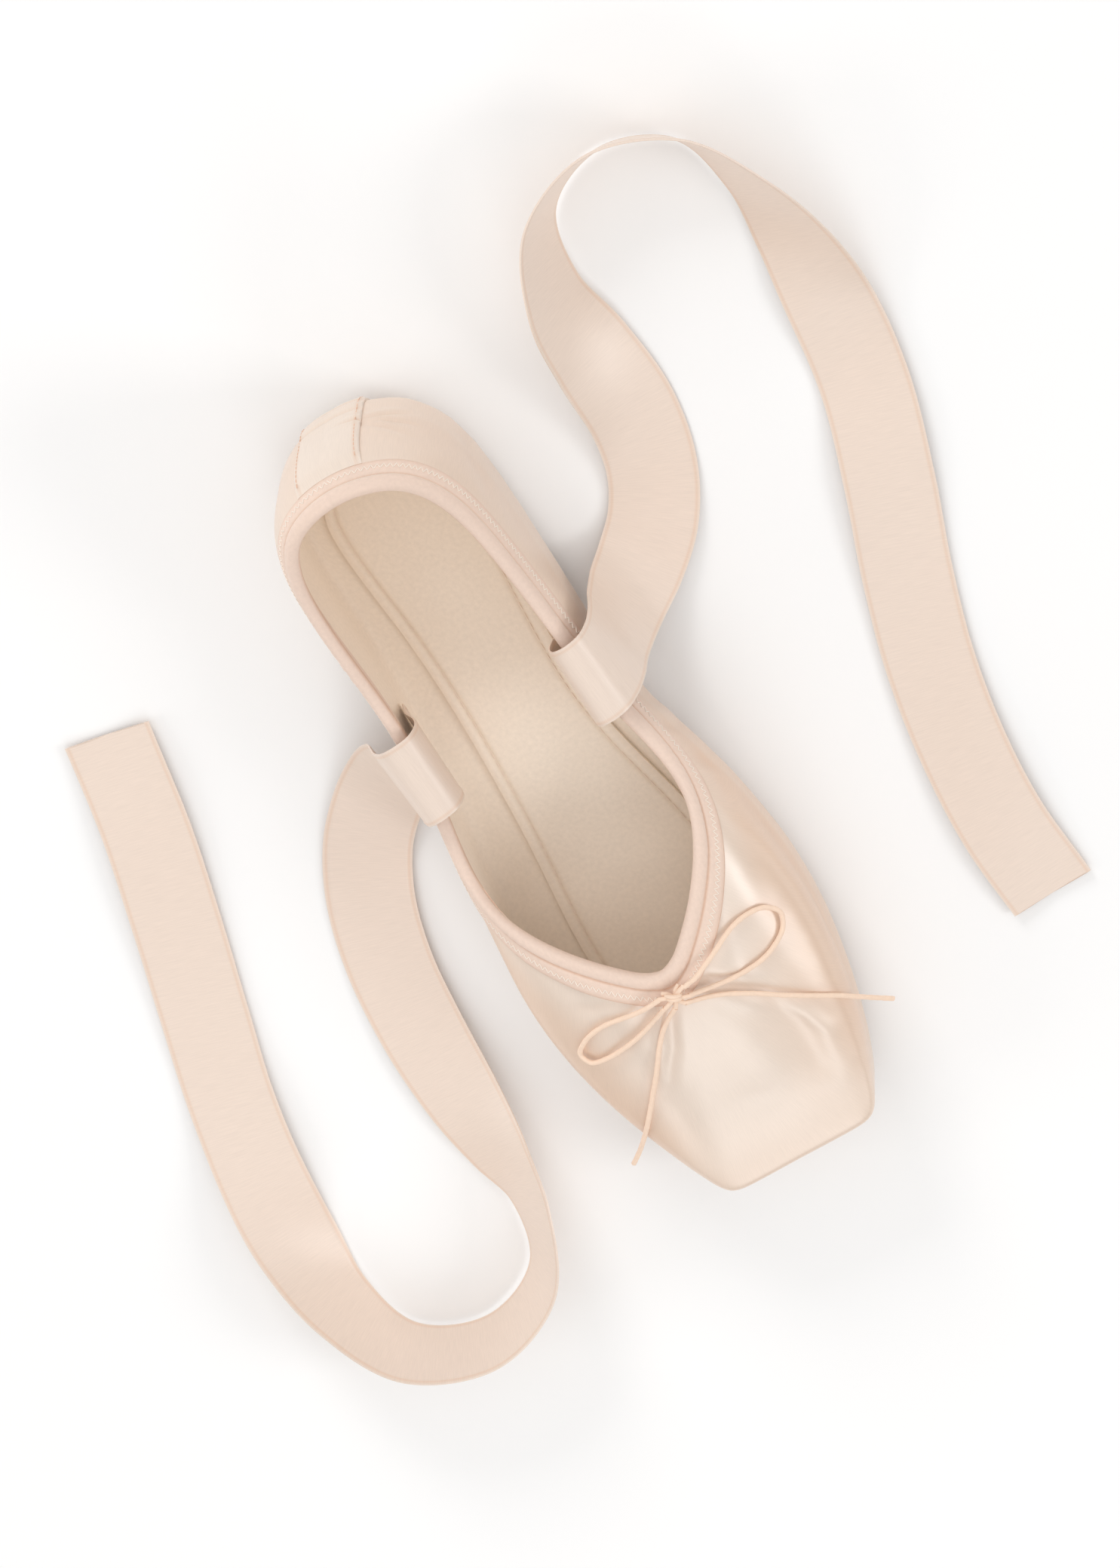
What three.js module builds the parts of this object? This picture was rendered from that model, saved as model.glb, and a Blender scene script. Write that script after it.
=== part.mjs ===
// Pointe shoe, satin, empty and standing on its sole, in millimetres.
// +X runs to the toe, +Y to the wearer's left, +Z up; the floor is z = 0, the middle of the length x = 0.
import * as THREE from 'three';
import * as BufferGeometryUtils from 'three/addons/utils/BufferGeometryUtils.js';

// Driving sizes
const gap = 0.3;              // clearance between pieces that touch
const overlayGap = 0.45;      // the same where both faces are curved and faceted
const wall = 2.2;             // satin, canvas and lining together
const soleThickness = 3;
const soleBevel = 0.8;
const insoleThickness = 1.8;
const archHeight = 6;         // rise of the sole's underside at the waist
const archBack = -62;         // the arch starts here, behind it the heel is flat on the floor
const archFront = 28;         // and ends here, in front of it the forefoot is flat
const toeSpringFrom = 92;
const toeSpring = 0.004;      // millimetres of lift for each millimetre squared past that place
const seamAt = 4.55;          // side seam, in rows of the table below
const seamLap = 0.5;          // the quarter stands proud of the vamp by this much
const bindingWidth = 9;
const bindingThickness = 0.8;
const casingWidth = 3.6;      // rolled edge that the drawstring runs in
const casingRise = 1.3;       // its height over the upper at the middle of its roll
const bindingInside = 6;      // depth of the binding's turned edge inside the shoe
const overEdge = 0.8;         // clearance of the binding over the upper's edge
const soleEnd = 103;          // length of the sole from the middle of the shoe to its front end
const stripHalfWidth = 9.5;
const stripThickness = 0.8;
const cordDiameter = 1.4;
const ribbonWidth = 24;
const ribbonThickness = 0.6;

// The upper's left half, one row for each meridian from the centre of the heel round to the centre of
// the platform. sole: where the upper leaves the sole's edge. belly: the widest point. shoulder: height
// of the corner above the belly. edge: topline. low and high: how softly the corners under the belly and
// at the shoulder are rounded, 1 is softest. crown: how far the top bulges between shoulder and edge.
// Heights are above the sole's underside at that x.
const columns = [
  'soleX', 'soleY', 'bellyX', 'bellyY', 'bellyH', 'shoulderH',
  'edgeX', 'edgeY', 'edgeH', 'low', 'high', 'crown',
];
const meridians = {
  heelBack: [-102, 0, -118.2, 0, 22, 48, -112, 0, 60.5, 0.9, 0.9, 0],
  heelRound: [-101, 10, -115.3, 13.5, 22, 47, -109.6, 11, 59.5, 0.9, 0.9, 0],
  heelCorner: [-97.5, 17.8, -106.2, 23, 21, 45, -102, 19, 55.5, 0.9, 0.9, 0],
  heelSide: [-84, 20.5, -88, 28, 20, 39, -84.5, 24, 49, 0.9, 0.9, 0],
  waistBack: [-55, 18.7, -56, 28.5, 19, 32, -54, 25.2, 41, 0.9, 0.9, 0],
  waist: [-25, 17.6, -25, 29.8, 18, 28, -24, 26.8, 33, 0.9, 0.9, 0],
  jointBack: [5, 20.5, 5, 34.8, 17, 29, 0, 31, 35, 0.9, 0.9, 0],
  joint: [40, 25.6, 42, 40, 16.5, 33.5, 19, 27.6, 41.6, 0.9, 0.85, 0.6],
  boxBack: [68, 25.4, 73, 37.8, 16, 35, 34, 17.8, 44.8, 0.85, 0.7, 1.2],
  boxSide: [89, 20, 98, 31.6, 14.5, 32, 42.3, 10, 46.2, 0.7, 0.5, 1.6],
  boxFront: [98.5, 13, 112, 26.4, 13, 28, 46.2, 5.6, 46.7, 0.45, 0.3, 1.8],
  corner: [102, 7, 118.6, 22.3, 12.5, 26.5, 48, 2.7, 46.9, 0.32, 0.2, 1.8],
  platform: [102.8, 3.5, 120, 15, 12.5, 26.5, 48.8, 1.2, 47, 0.3, 0.18, 1.8],
  toe: [103, 0, 120, 0, 12.5, 26.5, 49, 0, 47, 0.3, 0.18, 1.8],
};
// Steps between one row and the next, fewer where the rows lie close together.
const rowSteps = [2, 2, 2, 3, 4, 4, 4, 4, 3, 3, 2, 2, 1];
// Places across a meridian, in control points from the margin under the foot to below the shoulder,
// and from there to the binding's lower edge as shares of the way.
const lowerStations = [0, 1, 2, 2.7, 3.3, 4, 5, 6];
const upperShares = [0.12, 0.24, 0.38, 0.6, 0.8, 1];
const marginX = 0.915;        // the upper's opening under the foot, as a share of the sole's outline
const marginY = 0.55;

// Underside of the sole: flat at heel and forefoot, arched between, with a little spring at the toe
function soleProfile(x) {
  const along = THREE.MathUtils.clamp((x - archBack) / (archFront - archBack), 0, 1);
  const spring = Math.max(0, x - toeSpringFrom);
  return archHeight * Math.sin(Math.PI * along) ** 2 + toeSpring * spring ** 2;
}

// Control points of one meridian: margin, sole edge, lower corner, belly, shoulder, topline
function meridianControls(row) {
  const r = Object.fromEntries(columns.map((name, i) => [name, row[i]]));
  const bottom = soleThickness + gap;
  const margin = new THREE.Vector3(r.soleX * marginX, r.soleY * marginY, bottom);
  const soleEdge = new THREE.Vector3(r.soleX, r.soleY, bottom);
  const underBelly = new THREE.Vector3(r.bellyX, r.bellyY, bottom);
  const belly = new THREE.Vector3(r.bellyX, r.bellyY, r.bellyH);
  const shoulder = new THREE.Vector3(r.bellyX, r.bellyY, r.shoulderH);
  const edge = new THREE.Vector3(r.edgeX, r.edgeY, r.edgeH);
  const overShoulder = shoulder.clone().lerp(edge, r.high);
  const crown = new THREE.Vector3(0, 0, r.crown);
  return [
    margin,
    soleEdge,
    underBelly.clone().lerp(soleEdge, r.low),
    underBelly,
    underBelly.clone().lerp(belly, r.low),
    belly,
    shoulder.clone().lerp(belly, r.high),
    shoulder,
    overShoulder,
    overShoulder.clone().lerp(edge, 1 / 3).add(crown),
    overShoulder.clone().lerp(edge, 2 / 3).add(crown),
    edge,
  ];
}

// The closed ring of rows: the left half, then its mirror image back to the heel
const halfRows = Object.values(meridians).map(meridianControls);
const lastRow = halfRows.length - 1;
const ringSize = 2 * lastRow;
const mirrorRow = (row) => row.map((p) => new THREE.Vector3(p.x, -p.y, p.z));
const ring = [...halfRows, ...halfRows.slice(1, -1).reverse().map(mirrorRow)];

// Spline controls that make a closed cubic B-spline pass through every row
function interpolatingRing(rows) {
  const controls = rows.map((row) => row.map((p) => p.clone()));
  const sweeps = 40;
  for (let sweep = 0; sweep < sweeps; sweep += 1) {
    controls.forEach((row, i) => {
      const before = controls[(i + ringSize - 1) % ringSize];
      const after = controls[(i + 1) % ringSize];
      row.forEach((p, k) => {
        p.copy(rows[i][k]).multiplyScalar(6).sub(before[k]).sub(after[k]).divideScalar(4);
      });
    });
  }
  return controls;
}
const net = interpolatingRing(ring);

const cubicWeights = (t) => [
  (1 - t) ** 3 / 6,
  (3 * t ** 3 - 6 * t ** 2 + 4) / 6,
  (-3 * t ** 3 + 3 * t ** 2 + 3 * t + 1) / 6,
  t ** 3 / 6,
];

// A point of one spline row; past its two ends the row goes on straight
function alongGirth(row, girth) {
  const last = row.length - 1;
  const cell = Math.min(Math.floor(girth), last - 1);
  const at = (k) => {
    if (k < 0) return row[0].clone().multiplyScalar(2).sub(row[1]);
    if (k > last) return row[last].clone().multiplyScalar(2).sub(row[last - 1]);
    return row[k];
  };
  const point = new THREE.Vector3();
  cubicWeights(girth - cell).forEach((weight, i) => point.addScaledVector(at(cell - 1 + i), weight));
  return point;
}

// The last's surface: round is the place in rows round the shoe, girth the place across a meridian
function surface(round, girth) {
  const cell = Math.floor(round);
  const point = new THREE.Vector3();
  cubicWeights(round - cell).forEach((weight, i) => {
    const row = net[(((cell - 1 + i) % ringSize) + ringSize) % ringSize];
    point.addScaledVector(alongGirth(row, girth), weight);
  });
  point.z += soleProfile(point.x);
  return point;
}

// Outward unit normal, from small steps both ways
function normalAt(round, girth) {
  const step = 0.02;
  const topGirth = net[0].length - 1;
  const low = Math.max(0, girth - step);
  const high = Math.min(topGirth, girth + step);
  const across = surface(round, high).sub(surface(round, low));
  const around = surface(round + step, girth).sub(surface(round - step, girth));
  return across.cross(around).normalize();
}

const offsetPoint = (round, girth, out) => surface(round, girth).addScaledVector(normalAt(round, girth), out);

// Places round the shoe, with a pair close together at each side seam for the lap
function roundStations(withSeam) {
  const half = [];
  rowSteps.forEach((steps, row) => {
    for (let k = 0; k < steps; k += 1) half.push(row + k / steps);
  });
  const seamStep = 0.02;
  if (withSeam) {
    half.push(seamAt - seamStep, seamAt + seamStep);
    half.sort((a, b) => a - b);
  }
  const otherHalf = half.slice(1).reverse().map((place) => ringSize - place);
  return [...half, lastRow, ...otherHalf];
}

// Height of the quarter over the vamp; the lap ends above the sole's edge
function lapAt(round, girth) {
  const isQuarter = round < seamAt || round > ringSize - seamAt;
  return isQuarter && girth > 1.5 ? seamLap : 0;
}

// Closed body from a grid of points; either direction may close on itself, open ends are capped flat
function gridBody(grid, closedRows, closedColumns) {
  const rows = grid.length;
  const size = grid[0].length;
  const index = (r, c) => ((r + rows) % rows) * size + ((c + size) % size);
  const faces = [];
  for (let r = 0; r < (closedRows ? rows : rows - 1); r += 1) {
    for (let c = 0; c < (closedColumns ? size : size - 1); c += 1) {
      faces.push(index(r, c), index(r, c + 1), index(r + 1, c + 1));
      faces.push(index(r, c), index(r + 1, c + 1), index(r + 1, c));
    }
  }
  if (!closedRows) {
    for (let c = 1; c < size - 1; c += 1) {
      faces.push(index(0, 0), index(0, c + 1), index(0, c));
      faces.push(index(rows - 1, 0), index(rows - 1, c), index(rows - 1, c + 1));
    }
  }
  return bodyFrom(grid.flat(), faces);
}

// Closed thin sheet between an outer and an inner grid of the same size, both split the same way, so
// that the two faces don't cross where the sheet twists
function sheetBody(outer, inner) {
  const rows = outer.length;
  const size = outer[0].length;
  const layer = rows * size;
  const faces = [];
  const quad = (a, b, c, d) => faces.push(a, b, c, a, c, d);
  for (let r = 0; r < rows - 1; r += 1) {
    for (let c = 0; c < size - 1; c += 1) {
      const k = r * size + c;
      quad(k, k + 1, k + size + 1, k + size);
      quad(layer + k, layer + k + size, layer + k + size + 1, layer + k + 1);
    }
  }
  const rim = [];
  for (let c = 0; c < size - 1; c += 1) rim.push(c);
  for (let r = 0; r < rows - 1; r += 1) rim.push(r * size + size - 1);
  for (let c = size - 1; c > 0; c -= 1) rim.push((rows - 1) * size + c);
  for (let r = rows - 1; r > 0; r -= 1) rim.push(r * size);
  rim.forEach((k, i) => {
    const next = rim[(i + 1) % rim.length];
    quad(k, layer + k, layer + next, next);
  });
  return bodyFrom([...outer.flat(), ...inner.flat()], faces);
}

function bodyFrom(points, faces) {
  const geometry = new THREE.BufferGeometry();
  const positions = points.flatMap((p) => [p.x, p.y, p.z]);
  geometry.setAttribute('position', new THREE.Float32BufferAttribute(positions, 3));
  geometry.setIndex(faces);
  return facingOut(geometry);
}

// Turns a body's faces round when its volume comes out negative
function facingOut(geometry) {
  const index = geometry.getIndex().array;
  const place = geometry.getAttribute('position');
  const corner = (k) => new THREE.Vector3().fromBufferAttribute(place, index[k]);
  let volume = 0;
  for (let k = 0; k < index.length; k += 3) volume += corner(k).dot(corner(k + 1).cross(corner(k + 2)));
  if (volume < 0) {
    for (let k = 0; k < index.length; k += 3) [index[k + 1], index[k + 2]] = [index[k + 2], index[k + 1]];
  }
  geometry.computeVertexNormals();
  return geometry;
}

// Upper: outer and inner surface of the last's form, open at the topline and under the foot
function upperGeometry() {
  const columnsRound = roundStations(true).map((round) => {
    const girths = meridianStations(round);
    const outer = girths.map((girth) => offsetPoint(round, girth, lapAt(round, girth)));
    const inner = girths.map((girth) => offsetPoint(round, girth, -wall));
    return [...outer, ...inner.reverse()];
  });
  return gridBody(columnsRound, true, true);
}

// Places on a meridian at given distances below the topline
function girthsBelowEdge(round, distances) {
  const topGirth = net[0].length - 1;
  const step = 0.05;
  let girth = topGirth;
  let walked = 0;
  let here = surface(round, girth);
  return distances.map((distance) => {
    while (walked < distance) {
      const next = surface(round, girth - step);
      const length = here.distanceTo(next);
      if (walked + length >= distance) return girth - (step * (distance - walked)) / length;
      walked += length;
      girth -= step;
      here = next;
    }
    return girth;
  });
}

// Where a meridian's rings lie: fixed places low down, then shared out up to the binding and its casing
function meridianStations(round) {
  const fromHere = lowerStations[lowerStations.length - 1];
  const [atCasing, atBinding] = girthsBelowEdge(round, [casingWidth, bindingWidth]);
  const sharedOut = upperShares.map((share) => THREE.MathUtils.lerp(fromHere, atBinding, share));
  return [...lowerStations, ...sharedOut, atCasing, net[0].length - 1];
}

// Binding: a strip on the outside, a rolled casing over the topline and a turned edge on the inside.
// below: distance under the topline, negative above it. out: height over the upper's outer face.
function bindingGeometry() {
  const foot = overlayGap + seamLap;
  const inside = -wall - overlayGap;
  const top = -overEdge - bindingThickness;
  const section = [
    { below: bindingWidth, out: foot },
    { below: bindingWidth, out: foot + bindingThickness },
    { below: casingWidth, out: foot + bindingThickness },
    { below: casingWidth - 1.4, out: foot + casingRise },
    { below: 0, out: foot + casingRise - 0.2 },
    { below: top, out: 0.4 },
    { below: top, out: inside + 0.2 },
    { below: 0.3, out: inside - bindingThickness },
    { below: bindingInside, out: inside - bindingThickness },
    { below: bindingInside, out: inside },
    { below: casingWidth, out: inside },
    { below: -overEdge, out: inside },
    { below: -overEdge, out: foot },
  ];
  const topGirth = net[0].length - 1;
  const rings = roundStations(true).map((round) => section.map(({ below, out }) => {
    const girth = girthsBelowEdge(round, [Math.max(below, 0)])[0];
    const point = offsetPoint(round, girth, out);
    if (below < 0) {
      const upward = surface(round, topGirth).sub(surface(round, topGirth - 0.05)).normalize();
      point.addScaledVector(upward, -below);
    }
    return point;
  }));
  return gridBody(rings, true, true);
}

// Place round the heel where a meridian's height line reaches a given y
function roundAtY(y, girth) {
  let low = 0;
  let high = 3;
  for (let halving = 0; halving < 30; halving += 1) {
    const middle = (low + high) / 2;
    if (surface(middle, girth).y < Math.abs(y)) low = middle;
    else high = middle;
  }
  return y < 0 ? ringSize - low : low;
}

// Heel strip: from the binding down the back of the heel and under it, nearly to the sole
function heelStripGeometry() {
  const top = girthsBelowEdge(0, [bindingWidth + gap])[0];
  const bottom = 1.45;
  const rowsDown = 18;
  const acrossSteps = 6;
  const foot = overlayGap + seamLap;
  const outer = [];
  const inner = [];
  for (let k = 0; k <= rowsDown; k += 1) {
    const girth = THREE.MathUtils.lerp(bottom, top, k / rowsDown);
    const places = [];
    for (let c = 0; c <= acrossSteps; c += 1) {
      places.push(roundAtY(THREE.MathUtils.lerp(-stripHalfWidth, stripHalfWidth, c / acrossSteps), girth));
    }
    outer.push(places.map((round) => offsetPoint(round, girth, foot + stripThickness)));
    inner.push(places.map((round) => offsetPoint(round, girth, foot)));
  }
  return sheetBody(outer, inner);
}

// A flat layer under or in the shoe: outline from the sole's edge, heights above the sole's profile
function soleLayer(levels) {
  const soleGirth = 1;
  const half = roundStations(false).filter((round) => round <= lastRow);
  const sections = half.slice(1, -1).map((round) => {
    const edge = surface(round, soleGirth);
    const left = levels.map(({ height, inset }) => layerPoint(edge, height, inset, 1));
    const right = levels.map(({ height, inset }) => layerPoint(edge, height, inset, -1)).reverse();
    return [...left, ...right];
  });
  return gridBody(sections, false, true);
}

function layerPoint(edge, height, inset, side) {
  const x = edge.x * (1 - inset / soleEnd);
  return new THREE.Vector3(x, side * (edge.y - inset), height + soleProfile(x));
}

const outsoleGeometry = () => soleLayer([
  { height: 0, inset: soleBevel },
  { height: soleBevel, inset: 0 },
  { height: soleThickness, inset: 0 },
]);

const insoleBottom = soleThickness + gap + wall + overlayGap;
const insoleGeometry = () => soleLayer([
  { height: insoleBottom, inset: 0 },
  { height: insoleBottom + insoleThickness, inset: 0 },
]);

// Drawstring: the knot on the binding at the throat, two loops and two ends; the ends hang free.
// Each route is x, y, z, from the knot outwards; a loop comes back to the knot.
const knotCentre = [54, 0, 50.1];
const knotRadii = [3, 2.6, 1.8];
const cordRoutes = {
  drawstring_loop_left: [
    [53.4, 3.6, 49.9],
    [52.8, 7.6, 49.4],
    [51.2, 11.6, 48.7],
    [49.5, 15.8, 47.5],
    [47.9, 19.6, 45.7],
    [46.9, 23.2, 44.1],
    [46.8, 27.3, 42.3],
    [48.2, 31.4, 40.4],
    [52, 33.9, 38.9],
    [56.2, 32.1, 39],
    [58.8, 28, 40.5],
    [60, 23.8, 41.9],
    [60.1, 20, 43.2],
    [59.6, 15.6, 44.8],
    [58.8, 11.2, 45.9],
    [57.7, 7, 47.1],
    [56.4, 3.4, 49.1],
  ],
  drawstring_loop_right: [
    [53.2, -3.6, 49.9],
    [53.9, -7.8, 48.9],
    [54.3, -12, 47.3],
    [54.2, -15.9, 46],
    [54.2, -20.4, 44.3],
    [55, -24.9, 42.4],
    [56.9, -29.4, 40.4],
    [60.1, -32.7, 38.5],
    [63.5, -31.5, 38.6],
    [64, -26.8, 40.4],
    [63.4, -22.3, 41.9],
    [62.2, -17.7, 43.7],
    [60.7, -13.4, 45.2],
    [58.8, -9, 46.5],
    [56.3, -3.9, 49.1],
  ],
  drawstring_end_left: [
    [57.6, 1.6, 49.6],
    [59.6, 5.6, 47],
    [61.9, 10, 45.3],
    [64.8, 14.4, 44.1],
    [68.3, 18.5, 42.3],
    [71.8, 22.2, 40.6],
    [75.4, 26.3, 38.7],
    [78.9, 30.2, 36.4],
    [82.9, 34.1, 33.2],
    [88.3, 38.6, 29],
    [94, 43.5, 24.5],
  ],
  drawstring_end_right: [
    [57.5, -1.4, 49.6],
    [60, -5, 47.1],
    [63, -8.7, 45.2],
    [66.8, -12.1, 43.9],
    [70.6, -15, 42.6],
    [74.2, -17.7, 41.2],
    [79.1, -21.7, 39],
    [83.5, -25.3, 37.1],
    [87.9, -29, 34.8],
    [92.4, -33, 31.2],
    [96.3, -36.8, 27.4],
    [100, -41, 23.8],
  ],
};
const cordSides = 8;
const cordStep = 3.4;

function cordGeometry(route) {
  const path = new THREE.CatmullRomCurve3(route.map((p) => new THREE.Vector3(...p)), false, 'centripetal');
  const steps = Math.ceil(path.getLength() / cordStep);
  const section = new THREE.Shape();
  for (let k = 0; k < cordSides; k += 1) {
    const angle = (2 * Math.PI * k) / cordSides;
    const x = (cordDiameter / 2) * Math.cos(angle);
    const y = (cordDiameter / 2) * Math.sin(angle);
    if (k === 0) section.moveTo(x, y);
    else section.lineTo(x, y);
  }
  section.closePath();
  return closed(new THREE.ExtrudeGeometry(section, { steps, curveSegments: 1, extrudePath: path }));
}

// Merges the corners that a geometry class repeats, so that the body is closed
function closed(geometry) {
  geometry.deleteAttribute('normal');
  geometry.deleteAttribute('uv');
  return facingOut(BufferGeometryUtils.mergeVertices(geometry, 1e-4));
}

function knotGeometry() {
  const geometry = new THREE.SphereGeometry(1, 12, 8);
  geometry.scale(...knotRadii).translate(...knotCentre);
  return closed(geometry);
}

// Ribbons: from the lining inside, over the topline and down to the floor, then lying in one loose bend
// on edge. x, y, z of the middle, heading of travel and roll of the width, both in degrees.
const ribbonRoutes = {
  ribbon_left: [
    [-30, 25.6, 17, 90, 0],
    [-30, 24.2, 25, 90, 0],
    [-30, 21.2, 33, 90, 0],
    [-30, 20.6, 38.6, 90, 0],
    [-30.2, 22.4, 42.8, 90, 0],
    [-30.5, 26.4, 44.2, 90, 0],
    [-31, 30.6, 42.8, 91, 0],
    [-31.6, 33.4, 38, 93, 0],
    [-32.3, 35, 30.5, 96, 0],
    [-33.4, 36, 20, 100, 0],
    [-35.6, 39.6, 10, 108, 0],
    [-40, 46.5, 3.2, 122, 0],
    [-48, 55, 0.9, 140, 0],
    [-60, 62, 0.9, 158, 2],
    [-76, 66, 2.8, 172, 10],
    [-96, 66.5, 6.6, 179, 30],
    [-115, 66.5, 10.4, 174, 55],
    [-136.2, 75, 12, 135, 72],
    [-145, 96, 12.2, 90, 75],
    [-136.2, 117.2, 12, 45, 72],
    [-115, 126, 10.4, 6, 55],
    [-95, 127.5, 6.6, -1, 30],
    [-76, 126, 2.8, -5, 10],
    [-50, 121.5, 0.9, -13, 0],
    [-25, 113.5, 0.9, -20, 0],
    [0, 104, 0.9, -19, 0],
    [24, 96.5, 0.9, -14, 0],
    [48, 91.8, 0.9, -8, 0],
    [73, 89.6, 0.9, -2, 0],
    [98, 90.5, 0.9, 5, 0],
  ],
  ribbon_right: [
    [-30, -25.6, 17, -90, 0],
    [-30, -24.2, 25, -90, 0],
    [-30, -21.2, 33, -90, 0],
    [-30, -20.6, 38.6, -90, 0],
    [-29.8, -22.4, 42.8, -90, 0],
    [-29.5, -26.4, 44.2, -90, 0],
    [-29, -30.6, 42.8, -89, 0],
    [-28.4, -33.4, 38, -87, 0],
    [-27.6, -35, 30.5, -84, 0],
    [-26.2, -37, 20, -79, 0],
    [-23.2, -41.6, 10, -70, 0],
    [-17.2, -49.6, 3.2, -56, 0],
    [-8, -58.5, 0.9, -42, 0],
    [6, -66.5, 0.9, -24, 0],
    [24, -72, 0.9, -12, 0],
    [44, -74.5, 1.6, -4, 3],
    [64, -75, 3.8, 0, 16],
    [83, -74.5, 7.6, 2, 36],
    [100, -74.5, 10.8, -6, 58],
    [121.2, -83.3, 12, -45, 72],
    [130, -104.5, 12.2, -90, 75],
    [121.2, -125.7, 12, -135, 72],
    [100, -134.5, 10.4, -174, 55],
    [80, -136, 6.6, -181, 30],
    [60, -134.5, 2.8, -185, 10],
    [36, -130, 0.9, -191, 0],
    [12, -123, 0.9, -196, 0],
    [-14, -115, 0.9, -197, 0],
    [-42, -107, 0.9, -194, 0],
    [-70, -101.5, 0.9, -188, 0],
  ],
};
const ribbonStep = 7;

function ribbonGeometry(route) {
  const places = new THREE.CatmullRomCurve3(route.map(([x, y, z]) => new THREE.Vector3(x, y, z)));
  const turns = route.map(([, , , heading, roll]) => new THREE.Vector3(heading, roll, 0));
  const angles = new THREE.CatmullRomCurve3(turns);
  const steps = Math.round(places.getLength() / ribbonStep);
  const upperFace = [];
  const lowerFace = [];
  for (let k = 0; k <= steps; k += 1) {
    const t = places.getUtoTmapping(k / steps);
    const middle = places.getPoint(t);
    const along = places.getTangent(t);
    const turn = angles.getPoint(t);
    const heading = THREE.MathUtils.degToRad(turn.x);
    const roll = THREE.MathUtils.degToRad(turn.y);
    const level = new THREE.Vector3(-Math.sin(heading), Math.cos(heading), 0);
    const across = level.multiplyScalar(Math.cos(roll)).setZ(Math.sin(roll));
    across.addScaledVector(along, -across.dot(along)).normalize();
    const face = new THREE.Vector3().crossVectors(along, across);
    const corner = (side, out) => middle.clone()
      .addScaledVector(across, (side * ribbonWidth) / 2)
      .addScaledVector(face, (out * ribbonThickness) / 2);
    upperFace.push([corner(1, 1), corner(-1, 1)]);
    lowerFace.push([corner(1, -1), corner(-1, -1)]);
  }
  return sheetBody(upperFace, lowerFace);
}

const satin = new THREE.MeshStandardMaterial({ color: 0xecd3bf, roughness: 0.35, metalness: 0 });
const bindingCloth = new THREE.MeshStandardMaterial({ color: 0xe6cbb8, roughness: 0.8, metalness: 0 });
const soleLeather = new THREE.MeshStandardMaterial({ color: 0xddbfa6, roughness: 0.7, metalness: 0 });
const cordCotton = new THREE.MeshStandardMaterial({ color: 0xecd2bb, roughness: 0.7, metalness: 0 });
const lining = new THREE.MeshStandardMaterial({ color: 0xe9dccb, roughness: 0.9, metalness: 0 });

const shoe = new THREE.Group();

function addPiece(name, geometry, material) {
  const mesh = new THREE.Mesh(geometry, material.clone());
  mesh.name = name;
  shoe.add(mesh);
}

addPiece('upper', upperGeometry(), satin);
addPiece('outsole', outsoleGeometry(), soleLeather);
addPiece('insole', insoleGeometry(), lining);
addPiece('binding', bindingGeometry(), bindingCloth);
addPiece('heel_strip', heelStripGeometry(), satin);
addPiece('drawstring_knot', knotGeometry(), cordCotton);
Object.entries(cordRoutes).forEach(([name, route]) => addPiece(name, cordGeometry(route), cordCotton));
Object.entries(ribbonRoutes).forEach(([name, route]) => addPiece(name, ribbonGeometry(route), satin));

export default shoe;
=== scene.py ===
# Satin pointe shoe standing empty on its sole, with a drawstring bow and two ankle ribbons beside it.
# The frame is the CAD's: +X to the toe, +Z up. Shapes are worked out in millimetres and stored in metres.
import math

import bpy
import numpy as np
from mathutils import Matrix, Vector


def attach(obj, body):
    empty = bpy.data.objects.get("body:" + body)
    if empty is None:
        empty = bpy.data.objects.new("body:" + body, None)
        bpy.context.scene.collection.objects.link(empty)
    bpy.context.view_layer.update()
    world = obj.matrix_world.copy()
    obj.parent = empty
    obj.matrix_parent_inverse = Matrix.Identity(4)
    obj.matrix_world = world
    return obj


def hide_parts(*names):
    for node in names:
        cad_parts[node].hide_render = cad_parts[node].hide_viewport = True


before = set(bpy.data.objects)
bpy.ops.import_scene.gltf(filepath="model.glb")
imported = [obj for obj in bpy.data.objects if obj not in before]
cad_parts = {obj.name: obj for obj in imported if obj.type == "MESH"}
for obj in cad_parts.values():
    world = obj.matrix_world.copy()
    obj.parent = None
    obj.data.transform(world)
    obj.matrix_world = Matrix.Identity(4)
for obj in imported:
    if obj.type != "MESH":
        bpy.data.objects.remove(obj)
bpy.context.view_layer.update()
mm = 0.001

camera = {
    "towards": (-0.309, 0.225, 0.924),  # from the shoe to the camera
    "roll": 56.5,                       # degrees that the toe points below the picture's horizontal
    "middle": (-0.004, 0.0, 0.025),     # what the picture is centred on
    "distance": 2.4,
    "tall": 0.412,                      # height of the picture at the shoe
    "clip": (0.05, 50),
}


def makeCamera(s):
    # looks back along "towards" with the shoe's length turned by the roll; gives the picture's axes
    back = Vector(s["towards"]).normalized()
    along = (Vector((1, 0, 0)) - back * back.x).normalized()
    up = back.cross(along)
    roll = math.radians(s["roll"])
    right = along * math.cos(roll) + up * math.sin(roll)
    top = up * math.cos(roll) - along * math.sin(roll)
    data = bpy.data.cameras.new("camera")
    data.lens = data.sensor_width * s["distance"] / s["tall"]
    data.clip_start, data.clip_end = s["clip"]
    obj = bpy.data.objects.new("camera", data)
    bpy.context.scene.collection.objects.link(obj)
    turn = Matrix((right, top, back)).transposed().to_4x4()
    obj.matrix_world = Matrix.Translation(Vector(s["middle"]) + back * s["distance"]) @ turn
    bpy.context.scene.camera = obj
    return right, top, back


right, top, back = makeCamera(camera)
print("camera ready")


def unit(v):
    # the same directions, one long
    return v / np.maximum(np.linalg.norm(v, axis=-1, keepdims=True), 1e-12)


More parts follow.
